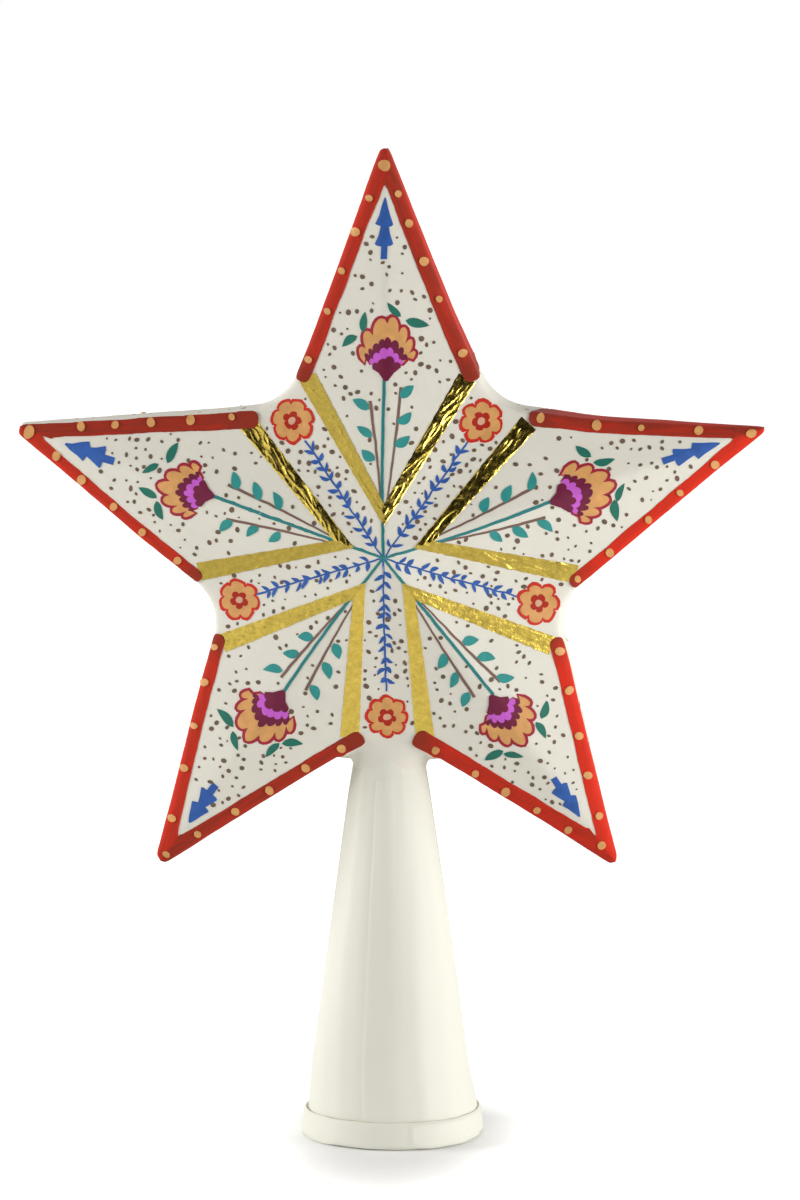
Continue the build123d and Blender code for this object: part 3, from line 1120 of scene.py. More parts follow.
class TOPPER_OT_gold_foil(bpy.types.Operator):
    """Lays the crinkled gold foil strips beside the valleys, two on each arm"""

    bl_idname = "topper.gold_foil"
    bl_label = "Gold foil"

    FOIL = 0.12
    CURL = 0.05  # height of a strip over its gap, lost again at the edges of deeply creased ones
    OVER_STEM = 0.14  # how much higher its inner end lies, over the stem of the carnation
    EDGE_MARGIN = 1.5  # from the edge of the star to the end of a strip, at its side nearest to the valley
    BORDER_MARGIN = 4.4  # the same at its other side, where the red border ends
    COLUMNS = 130
    ROWS = 30
    CREASES = 0.09  # height of the creases of most strips
    DEEP_CREASES = 0.2  # from this height on a strip also curls down at its edges
    # strips that are more or less creased than most
    CREASE_HEIGHTS = {
        "top_arm_right": 0.27, "left_arm_right": 0.27, "right_arm_left": 0.27, "right_arm_right": 0.17,
        "lower_left_arm_left": 0.045, "lower_right_arm_right": 0.045, "lower_right_arm_left": 0.045,
        "top_arm_left": 0.045,
    }
    LONG_CREASE = 8.0
    CROSS_CREASE = 2.2
    SHARPNESS = (10, 12)  # of the creases along a strip and of the slanted ones
    SLANTED = 0.7  # height of the slanted creases beside the others
    SLANT = ((1.9, 0.8), (-0.7, 0.9))  # turns the pattern of the creases for the slanted ones
    SLANT_SEED = 5
    SOFT_FOLDS = 0.6
    FOLD_SCALE = 0.8
    RUBBED = (0.4, 0.9, 0.35)  # what is left of the creases everywhere, and more in places
    RUB_SCALE = 0.5
    RUB_SHIFT = Vector((3, 8, 0))
    EDGE_CURL = 20  # how close to its edges a strip curls down
    GAP = 0.04  # between the gesso and a strip's edges, over LIFT
    LIFT = 0.02
    RAGGED = 0.2  # how uneven its long edges are
    RAGS = (26, 2)  # along and across it
    STEM_SHARE = 0.06  # of its length, over the stem
    SMOOTH_END = 12  # the creases fade out in the last twelfth of its length, before the red border
    # painted reflection: strips whose gold is darker or lighter than most, for what each one mirrors
    PAINTED_REFLECTION_TONES = {
        "left_arm_left": 0.74, "top_arm_left": 0.68, "lower_left_arm_right": 0.9, "right_arm_right": 0.9,
        "lower_right_arm_left": 0.8, "lower_left_arm_left": 1.18, "lower_right_arm_right": 1.13,
    }

    def execute(self, context):
        foil = crinkled_gold_foil()
        for face, side in SIDES.items():
            for arm, arm_name in enumerate(ARMS):
                for hand, turn in (("left", 1), ("right", -1)):
                    node = f"foil_{face}_{arm_name}_{hand}"
                    creases = self.CREASE_HEIGHTS.get(f"{arm_name}_{hand}", self.CREASES)
                    strip = self.strip(f"gold_{node}", side, arm * side % len(ARMS), turn * side, creases)
                    # Painted reflection: the strip's tone darkens or lightens its gold, for what it mirrors
                    tone = self.PAINTED_REFLECTION_TONES.get(f"{arm_name}_{hand}", 1.0)
                    add_layer(strip, "tone", [tone] * len(strip.data.vertices))
                    finish(strip, "gold_foil", foil, [node])
        return {"FINISHED"}

    def edge_angle(self):
        """Angle between a valley and the edge of the star."""
        run = edge_frame()[1]
        return HALF_STEP + math.atan2(-run.y, run.x)

    def inner_end(self, distance):
        """A place on the strip's inner end, on the ridge, as (along the valley, square to it)."""
        return Vector((distance / math.tan(HALF_STEP), distance))

    def outer_end(self, distance, margin):
        """A place on the strip's outer end, a margin from the edge of the star."""
        angle = self.edge_angle()
        return Vector((mm("notch_radius") + distance / math.tan(angle) - margin / math.sin(angle), distance))

    def strip(self, name, side, arm, turn, creases):
        """One strip; turn is 1 for the valley anticlockwise from the arm and -1 for the other."""
        valley = arm_turn(arm) + turn * ARM_STEP / 2
        seed = arm * 11.0 + turn * 3.0 + side * 57.0
        near = (self.inner_end(mm("foil_inner_gap")), self.outer_end(mm("foil_outer_gap"), self.EDGE_MARGIN))
        far = (
            self.inner_end(mm("foil_inner_gap") + mm("foil_inner_width")),
            self.outer_end(mm("foil_outer_gap") + mm("foil_outer_width"), self.BORDER_MARGIN),
        )
        heights = []

        def place(s, t):
            rags = noise.noise(Vector((s * self.RAGS[0], t * self.RAGS[1], seed)))
            ragged = self.RAGGED * rags * abs(2 * t - 1) ** 3
            spot = near[0].lerp(near[1], s).lerp(far[0].lerp(far[1], s), t)
            over_stem = self.OVER_STEM * max(0.0, 1 - s / self.STEM_SHARE)
            fading = min(1.0, self.SMOOTH_END * (1 - s))
            heights.append(self.height(spot, t, seed, creases, fading) + over_stem)
            return on_face(side, spoke(valley, spot.x, turn * (spot.y + ragged)), OVERHANG)

        strip = sheet_from_grid(name, self.COLUMNS, self.ROWS, place)
        turn_to(strip, side)
        lay_on_star(strip, self.LIFT, side)
        raise_points(strip, side, heights)
        thicken(strip, self.FOIL)
        return strip

    def height(self, spot, t, seed, creases, fading):
        """Height of a point of a strip over the gesso, raised between its edges, with narrow creases."""
        place = Vector((spot.x / self.LONG_CREASE, spot.y / self.CROSS_CREASE, seed))
        (a, b), (c, d) = self.SLANT
        slanted = Vector((place.x * a + place.y * b, place.y * d + place.x * c, seed + self.SLANT_SEED))
        long_ridges = (1 - abs(noise.noise(place))) ** self.SHARPNESS[0]
        ridges = long_ridges + self.SLANTED * (1 - abs(noise.noise(slanted))) ** self.SHARPNESS[1]
        least, more, bias = self.RUBBED
        rubbed = least + more * max(0.0, bias + noise.noise(place * self.RUB_SCALE + self.RUB_SHIFT))
        raised = 1 - abs(2 * t - 1) ** self.EDGE_CURL if creases > self.DEEP_CREASES else 1.0
        folds = creases * fading * rubbed * (ridges + self.SOFT_FOLDS * noise.noise(place * self.FOLD_SCALE))
        return self.GAP + raised * (self.CURL + folds)


class TOPPER_OT_carnations(bpy.types.Operator):
    """Paints a scalloped carnation with four green leaves on each arm"""

    bl_idname = "topper.carnations"
    bl_label = "Carnations"

    SEED = 70
    # base, tip as (along, across) on the arm, and width of each leaf
    LEAVES = (
        ((58.6, -5.7), (64.2, -5.0), 2.0),
        ((56.9, -8.0), (53.9, -12.3), 2.2),
        ((62.4, 4.1), (66.0, 0.4), 1.8),
        ((61.8, 5.2), (60.8, 11.2), 2.4),
    )
    # reach, flank, spread in degrees, lobes, depth of a lobe and foot of each ring of petals
    RINGS = {
        "petals": (18.2, 10.6, 49, 7, 2.6, 7.2),
        "scallops": (12.5, 8.8, 43, 8, 1.1, 5.8),
        "frill": (9.7, 7.3, 42, 6, 0.9, 4.6),
        "cup": (7.2, 6.0, 45, 4, 0.8, 0.8),
    }
    LINE = 0.82
    # how far the carnation of each arm stands further out and to the right, its size and its tilt in degrees
    FITS = (
        (0.0, 0.0, 1.0, 0.0), (2.6, 0.0, 0.9, 6.0), (0.0, 0.0, 1.05, 0.0), (1.2, -0.9, 0.97, 0.0),
        (0.0, 0.0, 1.04, 0.0),
    )
    LEAF_SHIFTS = (0.0, 2.6, 1.2, 0.5, 0.6)  # how far the leaves of each arm stand further out
    # how far its single leaves stand further out and to the right than usual
    LEAF_NUDGES = {
        "left_arm": ((1.5, 0.0), (3.9, 1.8), (0.6, -1.1), (-1.1, -1.0)),
        "lower_left_arm": ((-1.1, -1.5), (0.8, 0.7), (0.5, 1.2), (0.0, 0.0)),
        "lower_right_arm": ((1.6, 0.3), (3.5, 0.2), (-0.9, 2.6), (-0.6, 1.1)),
        "right_arm": ((0.0, -1.0), (2.2, -0.3), (-0.6, 2.2), (0.0, 0.0)),
    }
    COATS = {"line": 0.1, "petals": 0.14, "scallops": 0.18, "frill": 0.22, "cup": 0.26}
    LEAF_COAT = 0.12
    TILT = 3
    DRIFT = 0.5
    TIP_DRIFT = 1.6  # how much more the tip of a leaf drifts than its base
    LEAF_BEND = 0.09
    SIZES = (0.98, 1.02)

    def execute(self, context):
        paints = {
            "line": brushed_paint("crimson_outline_paint", "crimson"),
            "petals": brushed_paint("ochre_petal_paint", "ochre", 0.32),
            "scallops": brushed_paint("maroon_petal_paint", "maroon"),
            "frill": brushed_paint("orchid_petal_paint", "orchid"),
            "cup": brushed_paint("maroon_cup_paint", "maroon", 0.32),
        }
        green = brushed_paint("green_leaf_paint", "leaf_green")
        for face, side in SIDES.items():
            rng = random.Random(self.SEED + side)
            flowers = [self.flower(rng, arm) for arm in range(len(ARMS))]
            for part, lift in self.COATS.items():
                outlines = [flower[part] for flower in flowers]
                paint_coat(f"carnation_{part}_{face}", outlines, side, paints[part], lift, dice=3.0)
            self.leaves(face, side, rng, green)
        return {"FINISHED"}

    def flower(self, rng, arm):
        """All outlines of one carnation on an arm."""
        outward, sideways, size, turn = self.FITS[arm]
        tilt = turn + either_way(rng, self.TILT)
        shift = Vector((outward, sideways + either_way(rng, self.DRIFT)))
        scale = size * rng.uniform(*self.SIZES)
        shapes = {}
        for part, (reach, flank, spread, lobes, depth, foot) in self.RINGS.items():
            ring = fan(reach, flank, spread, lobe_spans(rng, lobes), depth, foot)
            shapes[part] = self.placed(arm, ring, tilt, shift, scale)
        shapes["line"] = grown(shapes["petals"], self.LINE)
        return shapes

    def placed(self, arm, shape, tilt, shift, scale):
        """A fan put on an arm, tilted a little and shifted sideways as hand work is."""
        foot = spoke(arm_turn(arm), mm("flower_place") + shift.x, shift.y)
        return [foot + spoke(arm_turn(arm) + tilt, along * scale, across * scale) for along, across in shape]

    def leaves(self, face, side, rng, green):
        outlines = []
        usual = ((0.0, 0.0),) * len(self.LEAVES)
        for arm, arm_name in enumerate(ARMS):
            turn = arm_turn(arm)
            for (base, tip, width), nudge in zip(self.LEAVES, self.LEAF_NUDGES.get(arm_name, usual)):
                drift = Vector((either_way(rng, self.DRIFT), either_way(rng, self.DRIFT)))
                move = Vector((nudge[0] + self.LEAF_SHIFTS[arm], nudge[1]))
                start = spoke(turn, *(Vector(base) + drift + move))
                end = spoke(turn, *(Vector(tip) + self.TIP_DRIFT * drift + move))
                outlines.append(leaf(start, end, width, either_way(rng, self.LEAF_BEND)))
        paint_coat(f"carnation_leaves_{face}", outlines, side, green, self.LEAF_COAT)


class TOPPER_OT_leafy_stems(bpy.types.Operator):
    """Paints the stem of each carnation and a twig with teal leaves on either side of it"""

    bl_idname = "topper.leafy_stems"
    bl_label = "Leafy stems"

    SEED = 90
    TWIGS = (((13.7, -0.8), (40.4, -4.4)), ((13.7, 0.6), (43.9, 3.7)))
    LEAF_PLACES = ((38.4, 31.2, 25.3), (41.5, 34.9, 29.0))  # along the arm, on the left and the right twig
    # how far the two twigs of an arm stand further out than usual
    FURTHER_OUT = {
        "left_arm": (3.0, 1.2), "lower_left_arm": (1.6, 0.0), "lower_right_arm": (5.2, 1.3),
        "right_arm": (2.9, -0.6),
    }
    STEM_START = 0.1
    STEM_TOP = 1.0  # how far it goes on under the flower
    STEM_WIDTHS = (0.7, 0.85)
    STEM_DRIFT = 0.4
    STEM_SAG = 0.7
    TWIG_WIDTHS = (0.4, 0.8)
    TWIG_DRIFT = 0.6
    TWIG_SAG = 0.25
    LEAF_GAP = 0.3  # from the middle of the twig
    LEAF_RISE = (2.1, 3.3)
    LEAF_REACH = (3.9, 4.8)
    LEAF_WIDTHS = (2.2, 2.7)
    LEAF_BEND = 0.12

    def execute(self, context):
        teal = brushed_paint("teal_stem_paint", "stem_teal")
        brown = brushed_paint("brown_twig_paint", "twig")
        leaf_paint = brushed_paint("teal_leaf_paint", "leaf_teal", 0.288)
        for face, side in SIDES.items():
            rng = random.Random(self.SEED + side)
            stems = []
            twigs = []
            leaves = []
            for arm, arm_name in enumerate(ARMS):
                turn = arm_turn(arm)
                outward, sideways = TOPPER_OT_carnations.FITS[arm][:2]
                height = mm("flower_place") + outward + self.STEM_TOP
                top = spoke(turn, height, sideways + either_way(rng, self.STEM_DRIFT))
                sag = either_way(rng, self.STEM_SAG)
                stems.append(stroke(spoke(turn, self.STEM_START, 0), top, *self.STEM_WIDTHS, sag))
                shifts = self.FURTHER_OUT.get(arm_name, (0.0, 0.0))
                for (start, end), places, shift in zip(self.TWIGS, self.LEAF_PLACES, shifts):
                    drift = shift + either_way(rng, self.TWIG_DRIFT)
                    tip = spoke(turn, end[0] + drift, end[1] + drift - shift)
                    twigs.append(stroke(spoke(turn, *start), tip, *self.TWIG_WIDTHS, self.TWIG_SAG))
                    for place in places:
                        leaves.append(self.twig_leaf(rng, turn, start, end, place + shift, shift))
            paint_coat(f"carnation_stems_{face}", stems, side, teal, lift=0.12, offsets=NARROW_CREASE)
            paint_coat(f"twigs_{face}", twigs, side, brown, lift=0.1)
            paint_coat(f"twig_leaves_{face}", leaves, side, leaf_paint, lift=0.13)
        return {"FINISHED"}

    def twig_leaf(self, rng, turn, start, end, place, shift):
        """A leaf at a place along a twig, on the side away from the stem."""
        share = (place - start[0]) / (end[0] + shift - start[0])
        out = math.copysign(1, end[1])
        base = spoke(turn, place, start[1] + (end[1] - start[1]) * share + self.LEAF_GAP * out)
        tip_place = place + rng.uniform(*self.LEAF_RISE)
        tip = spoke(turn, tip_place, end[1] * share + out * rng.uniform(*self.LEAF_REACH))
        return leaf(base, tip, rng.uniform(*self.LEAF_WIDTHS), either_way(rng, self.LEAF_BEND))


class TOPPER_OT_little_trees(bpy.types.Operator):
    """Paints a little blue tree of two tiers near the end of each arm"""

    bl_idname = "topper.little_trees"
    bl_label = "Little trees"

    SEED = 110
    # right half of a tree as (along, across) on the arm, from its tip to the foot of its trunk
    HALF_TREE = (
        (91.9, 0.2), (90.1, 0.9), (88.0, 1.75), (86.0, 2.6), (85.7, 2.0), (85.4, 1.2), (83.8, 1.75),
        (81.5, 2.75), (81.1, 2.1), (81.0, 1.0), (78.2, 0.95),
    )
    # how far the tree of each arm stands nearer to the point, how long it is and how wide
    FITS = ((0.8, 1.13, 0.9), (0.0, 1.03, 1.0), (0.0, 0.97, 0.97), (-2.3, 0.99, 0.93), (1.3, 1.17, 0.92))
    SIZES = (0.98, 1.02)
    LEAN = 0.05

    def execute(self, context):
        blue = brushed_paint("blue_tree_paint", "blue", 0.416)
        for face, side in SIDES.items():
            rng = random.Random(self.SEED + side)
            outlines = []
            for arm in range(len(ARMS)):
                scale = rng.uniform(*self.SIZES)
                lean = either_way(rng, self.LEAN)
                outlines.append([self.placed(arm, point, scale, lean) for point in self.points()])
            paint_coat(f"little_trees_{face}", outlines, side, blue, lift=0.12, hand=0.4, dice=2.0)
        return {"FINISHED"}

    def points(self):
        """All of a tree's outline, as on an arm."""
        left = [(along, -across) for along, across in reversed(self.HALF_TREE)]
        return list(self.HALF_TREE) + left

    def placed(self, arm, point, scale, lean):
        """A point of a tree on an arm, with the tree scaled about its tip and leaning a little."""
        shift, long, wide = self.FITS[arm]
        tip = self.HALF_TREE[0][0]
        drop = (tip - point[0]) * scale * long
        return spoke(arm_turn(arm), tip + shift - drop, point[1] * scale * wide + drop * lean)


class TOPPER_OT_sprigs(bpy.types.Operator):
    """Paints a blue sprig with paired leaves along each valley"""

    bl_idname = "topper.sprigs"
    bl_label = "Sprigs"

    SEED = 130
    INNER = 0.8
    FIRST_LEAF = 3.2
    OUTER = 36.5
    BARE_END = 1.5
    PAIRS = 11
    STEM_WIDTHS = (0.4, 0.5)
    STEM_SAG = 0.15
    LEAF_DRIFT = 0.45
    LEAF_SIZES = (2.0, 3.1)
    LEAF_ANGLES = (32, 58)
    LEAF_WIDTHS = (0.8, 1.2)
    LEAF_BEND = 0.12
    LEAF_GAP = 0.1

    def execute(self, context):
        blue = brushed_paint("blue_sprig_paint", "blue", 0.416)
        for face, side in SIDES.items():
            rng = random.Random(self.SEED + side)
            stems = []
            leaves = []
            for arm in range(len(ARMS)):
                turn = valley_turn(arm)
                ends = (spoke(turn, self.INNER, 0), spoke(turn, self.OUTER, 0))
                stems.append(stroke(*ends, *self.STEM_WIDTHS, self.STEM_SAG))
                spacing = (self.OUTER - self.FIRST_LEAF - self.BARE_END) / self.PAIRS
                for pair in range(self.PAIRS):
                    for hand in (1, -1):
                        place = self.FIRST_LEAF + spacing * (pair + rng.uniform(0, self.LEAF_DRIFT))
                        size = rng.uniform(*self.LEAF_SIZES)
                        angle = math.radians(rng.uniform(*self.LEAF_ANGLES))
                        base = spoke(turn, place, hand * self.LEAF_GAP)
                        tip = base + spoke(turn, size * math.cos(angle), hand * size * math.sin(angle))
                        width = rng.uniform(*self.LEAF_WIDTHS)
                        leaves.append(leaf(base, tip, width, either_way(rng, self.LEAF_BEND)))
            paint_coat(f"sprig_stems_{face}", stems, side, blue, lift=0.1, hand=0.3, offsets=NARROW_CREASE)
            paint_coat(f"sprig_leaves_{face}", leaves, side, blue, lift=0.12, hand=0.25)
        return {"FINISHED"}


class TOPPER_OT_rosettes(bpy.types.Operator):
    """Paints an ochre rosette with a red heart at the outer end of each valley"""

    bl_idname = "topper.rosettes"
    bl_label = "Rosettes"

    SEED = 150
    LINE = 0.8
    PETALS = (7, 8)
    PETAL_DEPTH = 1.2
    HEART = 2.5
    HEART_PETALS = 5
    HEART_DEPTH = 0.8
    PETAL_STEPS = 6
    DOT = 1.0
    DOT_FLATNESS = 0.9
    DOT_POINTS = 12
    SHIFTS = (0.0, -1.1, 0.9, 0.0, 0.0)  # how far the rosette that follows each arm stands further out
    DRIFT = 0.5
    SIZES = (0.97, 1.04)
    # lift of each layer, and how unsteadily it is drawn
    COATS = {"line": (0.1, 0.55), "petals": (0.14, 0.5), "heart": (0.18, 0.4), "dot": (0.22, 0.4)}

    def execute(self, context):
        paints = {
            "line": brushed_paint("red_rosette_paint", "rosette_red"),
            "petals": brushed_paint("ochre_rosette_paint", "ochre", 0.32),
            "heart": brushed_paint("deep_red_rosette_paint", "heart_red"),
            "dot": brushed_paint("blush_dot_paint", "blush"),
        }
        for face, side in SIDES.items():
            rng = random.Random(self.SEED + side)
            rosettes = [self.layers(rng, arm) for arm in range(len(ARMS))]
            for part, (lift, hand) in self.COATS.items():
                outlines = [layers[part] for layers in rosettes]
                paint_coat(f"rosette_{part}_{face}", outlines, side, paints[part], lift, hand=hand, dice=2.0)
        return {"FINISHED"}

    def layers(self, rng, arm):
        """All outlines of the rosette that follows an arm."""
        place = mm("rosette_place") + self.SHIFTS[arm]
        middle = spoke(valley_turn(arm), place, either_way(rng, self.DRIFT))
        radius = mm("rosette_radius") * rng.uniform(*self.SIZES)
        turn = rng.uniform(0, 45)
        petals = rosette(middle, radius, rng.choice(self.PETALS), self.PETAL_DEPTH, turn, self.PETAL_STEPS)
        return {
            "line": grown(petals, self.LINE),
            "petals": petals,
            "heart": rosette(middle, self.HEART, self.HEART_PETALS, self.HEART_DEPTH, turn, self.PETAL_STEPS),
            "dot": ellipse(middle, self.DOT, self.DOT * self.DOT_FLATNESS, turn, self.DOT_POINTS),
        }


class TOPPER_OT_speckles(bpy.types.Operator):
    """Scatters small brown speckles over the bare ground of both faces and along the side walls"""

    bl_idname = "topper.speckles"
    bl_label = "Speckles"

    SEED = 170
    WALL_SEED = 190
    ON_ARM = 86
    ARM_RUN = (15, 84)
    ARM_MARGIN = 1.2
    IN_VALLEY = 22
    VALLEY_RUN = (9, 47)
    VALLEY_ROOM = (2.5, 0.13)  # at the star's middle, and how much it grows outwards
    APART = 1.8
    CLEAR = 0.5  # bare ground between a speckle and other paint
    TRIES = 12
    STEEPEST = 0.5
    COAT = 0.08
    SIZES = (0.34, 0.42, 0.5, 0.58, 0.66, 0.75)
    SIZE_SPREAD = (0.9, 1.1)
    FLATNESS = (0.6, 1.0)
    POINTS = 8
    ON_WALL = 13
    WALL_ENDS = (6, 14)  # bare wall at the notch and at the point
    WALL_MARGIN = 2.6  # from the rim of a face
    WALL_LEAST = 0.8
    WALL_SIZES = (0.3, 0.6)
    WALL_FLATNESS = 0.8
    WALL_COAT = 0.04

    def execute(self, context):
        brown = brushed_paint("brown_speckle_paint", "speckle", 0.56, 0.6)
        for face, side in SIDES.items():
            rng = random.Random(self.SEED + side)
            spots = []
            for arm in range(len(ARMS)):
                self.scatter(spots, face, self.ON_ARM, partial(self.arm_spot, rng, arm))
                self.scatter(spots, face, self.IN_VALLEY, partial(self.valley_spot, rng, arm))
            dabs = [self.dab(rng, spot) for spot in spots]
            paint_coat(f"speckles_{face}", dabs, side, brown, self.COAT, offsets=(0.0,))
        self.wall_speckles(brown)
        return {"FINISHED"}

    def dab(self, rng, spot):
        """One speckle of any size and turn."""
        half = rng.choice(self.SIZES) * rng.uniform(*self.SIZE_SPREAD)
        return ellipse(spot, half, half * rng.uniform(*self.FLATNESS), rng.uniform(0, 180), self.POINTS)

    def arm_spot(self, rng, arm):
        """A place between the red strips of an arm."""
        run = edge_frame()[1]
        along = rng.uniform(*self.ARM_RUN)
        room = (mm("point_radius") - along) * -run.y / run.x - mm("border_width") / run.x - self.ARM_MARGIN
        room = min(room, along * math.tan(HALF_STEP))
        return spoke(arm_turn(arm), along, either_way(rng, room))

    def valley_spot(self, rng, arm):
        """A place in the valley that follows an arm."""
        along = rng.uniform(*self.VALLEY_RUN)
        room = self.VALLEY_ROOM[0] + along * self.VALLEY_ROOM[1]
        return spoke(valley_turn(arm), along, either_way(rng, 1) * room)

    def scatter(self, spots, face, count, draw):
        """Adds so many spots on bare ground, with a limit to the tries."""
        side = SIDES[face]
        star = bpy.data.objects["gesso_star"]
        meshes = [piece for piece in bpy.data.objects if piece.type == "MESH"]
        coats = [piece for piece in meshes if piece.name.endswith(f"_{face}")]
        coats += [piece for piece in meshes if piece.name.startswith(f"gold_foil_{face}")]
        placed = 0
        for attempt in range(count * self.TRIES):
            if placed == count:
                break
            spot = draw()
            if any((spot - other).length < self.APART for other in spots):
                continue
            hit, ground, normal = star.ray_cast(on_face(side, spot, OVERHANG), Vector((0, side, 0)))[:3]
            if not hit or normal.y * side > -self.STEEPEST:
                continue
            if any(piece.closest_point_on_mesh(ground, distance=self.CLEAR * MM)[0] for piece in coats):
                continue
            spots.append(spot)
            placed += 1

    def wall_speckles(self, brown):
        """A loose row of speckles on the side wall of every arm edge, where the red border leaves it bare."""
        corner, run, inward, edge_length = edge_frame()
        rng = random.Random(self.WALL_SEED)
        dabs = []
        for arm in range(len(ARMS)):
            for hand in (1, -1):
                for number in range(self.ON_WALL):
                    e = rng.uniform(self.WALL_ENDS[0], edge_length - self.WALL_ENDS[1])
                    rim = facet_depth(*(corner + run * e)) - self.WALL_MARGIN
                    if rim < self.WALL_LEAST:
                        continue
                    middle = Vector((e, either_way(rng, rim)))
                    half = rng.uniform(*self.WALL_SIZES)
                    dab = []
                    for around in ellipse(middle, half, half * self.WALL_FLATNESS, 0, self.POINTS):
                        plan = corner + run * around.x - inward
                        dab.append(on_face(FRONT, spoke(arm_turn(arm), plan.x, hand * plan.y), around.y))
                    dabs.append(dab[::hand])
        coat = lay_outlines("speckles_on_walls", dabs, lambda point: point)
        middle = star_middle()
        turn_out(coat, lambda place: place - middle)
        lay_on_star(coat, self.WALL_COAT)
        thicken(coat, self.WALL_COAT + PAINT_SINK)
        finish(coat, "painted_pulp", brown)


class TOPPER_OT_hand_shape(bpy.types.Operator):
    """Gives the finished star the small unevenness of hand work: arms that differ and a slight lean"""

    bl_idname = "topper.hand_shape"
    bl_label = "Hand shape"

    # how far the end of each arm is off, in millimetres to the right and up
    ARM_SHIFTS = ((-0.85, 0.97), (1.0, -0.65), (0.2, 0.15), (-1.35, 1.2), (-0.7, 0.2))
    ARM_FOOT = 30.0  # along an arm, less ARM_SLANT times what is off its middle
    ARM_SLANT = 0.9
    # how far the notch that follows each arm is further out
    NOTCH_SHIFTS = (0.65, 0.2, 0.9, 0.05, 0.7)
    NOTCH_FOOT = 24.0
    NOTCH_WIDTH = 24.0
    # how far the right and the left edge of each arm are further out
    EDGE_SHIFTS = ((-0.45, 0.55), (0.3, 0.8), (0.7, 0.3), (0.4, -0.2), (0.0, -0.9))
    EDGE_RUN = (30.0, 60.0)
    EDGE_SLANT = 0.55
    LEAST_WIDTH = 1.0
    # lower than the neck, what is this far from the middle belongs to an arm, and what is nearer to the cone
    BESIDE_CONE = (14.0, 30.0)
    NECK = (-6.0, 4.0)  # below and above the foot of the fillet, where the cone ends and the star begins
    LEAN = -1.0  # how far the star stands to the right of the cone's foot
    LEAN_LOW = 4.0
    LEAN_HIGH = 22.0

    def execute(self, context):
        for piece in bpy.data.objects:
            if piece.type == "MESH" and "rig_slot" in piece:
                points = np.empty(3 * len(piece.data.vertices))
                piece.data.vertices.foreach_get("co", points)
                points = points.reshape(-1, 3)
                points += self.shifts(points)
                piece.data.vertices.foreach_set("co", points.ravel())
                piece.data.update()
        return {"FINISHED"}

    def ease(self, values, low, high):
        """Shares that go softly from 0 at low to 1 at high."""
        share = np.clip((values - low) / (high - low), 0.0, 1.0)
        return share * share * (3 - 2 * share)

    def shifts(self, points):
        """How far points of the even star move."""
        height = points[:, 2] / MM
        plan = np.column_stack((points[:, 0] / MM, height - mm("star_height")))
        on_cone = 1 - self.ease(np.abs(plan[:, 0]), *self.BESIDE_CONE)
        on_cone *= 1 - self.ease(height - FILLET_LOW.z / MM, *self.NECK)
        on_star = 1 - on_cone
        moves = np.zeros_like(points)
        run = edge_frame()[1]
        slope = -run.y / run.x
        for arm in range(len(ARMS)):
            along = plan @ spoke(arm_turn(arm), 1, 0)
            right_of = spoke(arm_turn(arm), 0, 1)
            across = plan @ right_of
            slanted = along - self.ARM_SLANT * np.abs(across)
            share = on_star * self.ease(slanted, self.ARM_FOOT, mm("point_radius"))
            right, up = self.ARM_SHIFTS[arm]
            moves += np.outer(share, (right, 0, up))
            width = np.maximum((mm("point_radius") - along) * slope, self.LEAST_WIDTH)
            on_arm = on_star * self.ease(along - self.EDGE_SLANT * np.abs(across), *self.EDGE_RUN)
            for hand, shift in zip((1, -1), self.EDGE_SHIFTS[arm]):
                share = on_arm * hand * np.clip(hand * across / width, 0.0, 1.0)
                moves += np.outer(share * shift, (right_of.x, 0, right_of.y))
            out = spoke(valley_turn(arm), 1, 0)
            beside = np.abs(plan @ spoke(valley_turn(arm), 0, 1))
            share = on_star * self.ease(plan @ out, self.NOTCH_FOOT, mm("notch_radius"))
            share *= 1 - self.ease(beside, 0, self.NOTCH_WIDTH)
            moves += np.outer(share, (out.x * self.NOTCH_SHIFTS[arm], 0, out.y * self.NOTCH_SHIFTS[arm]))
        moves[:, 0] += self.LEAN * self.ease(height, self.LEAN_LOW, self.LEAN_HIGH)
        return moves * MM


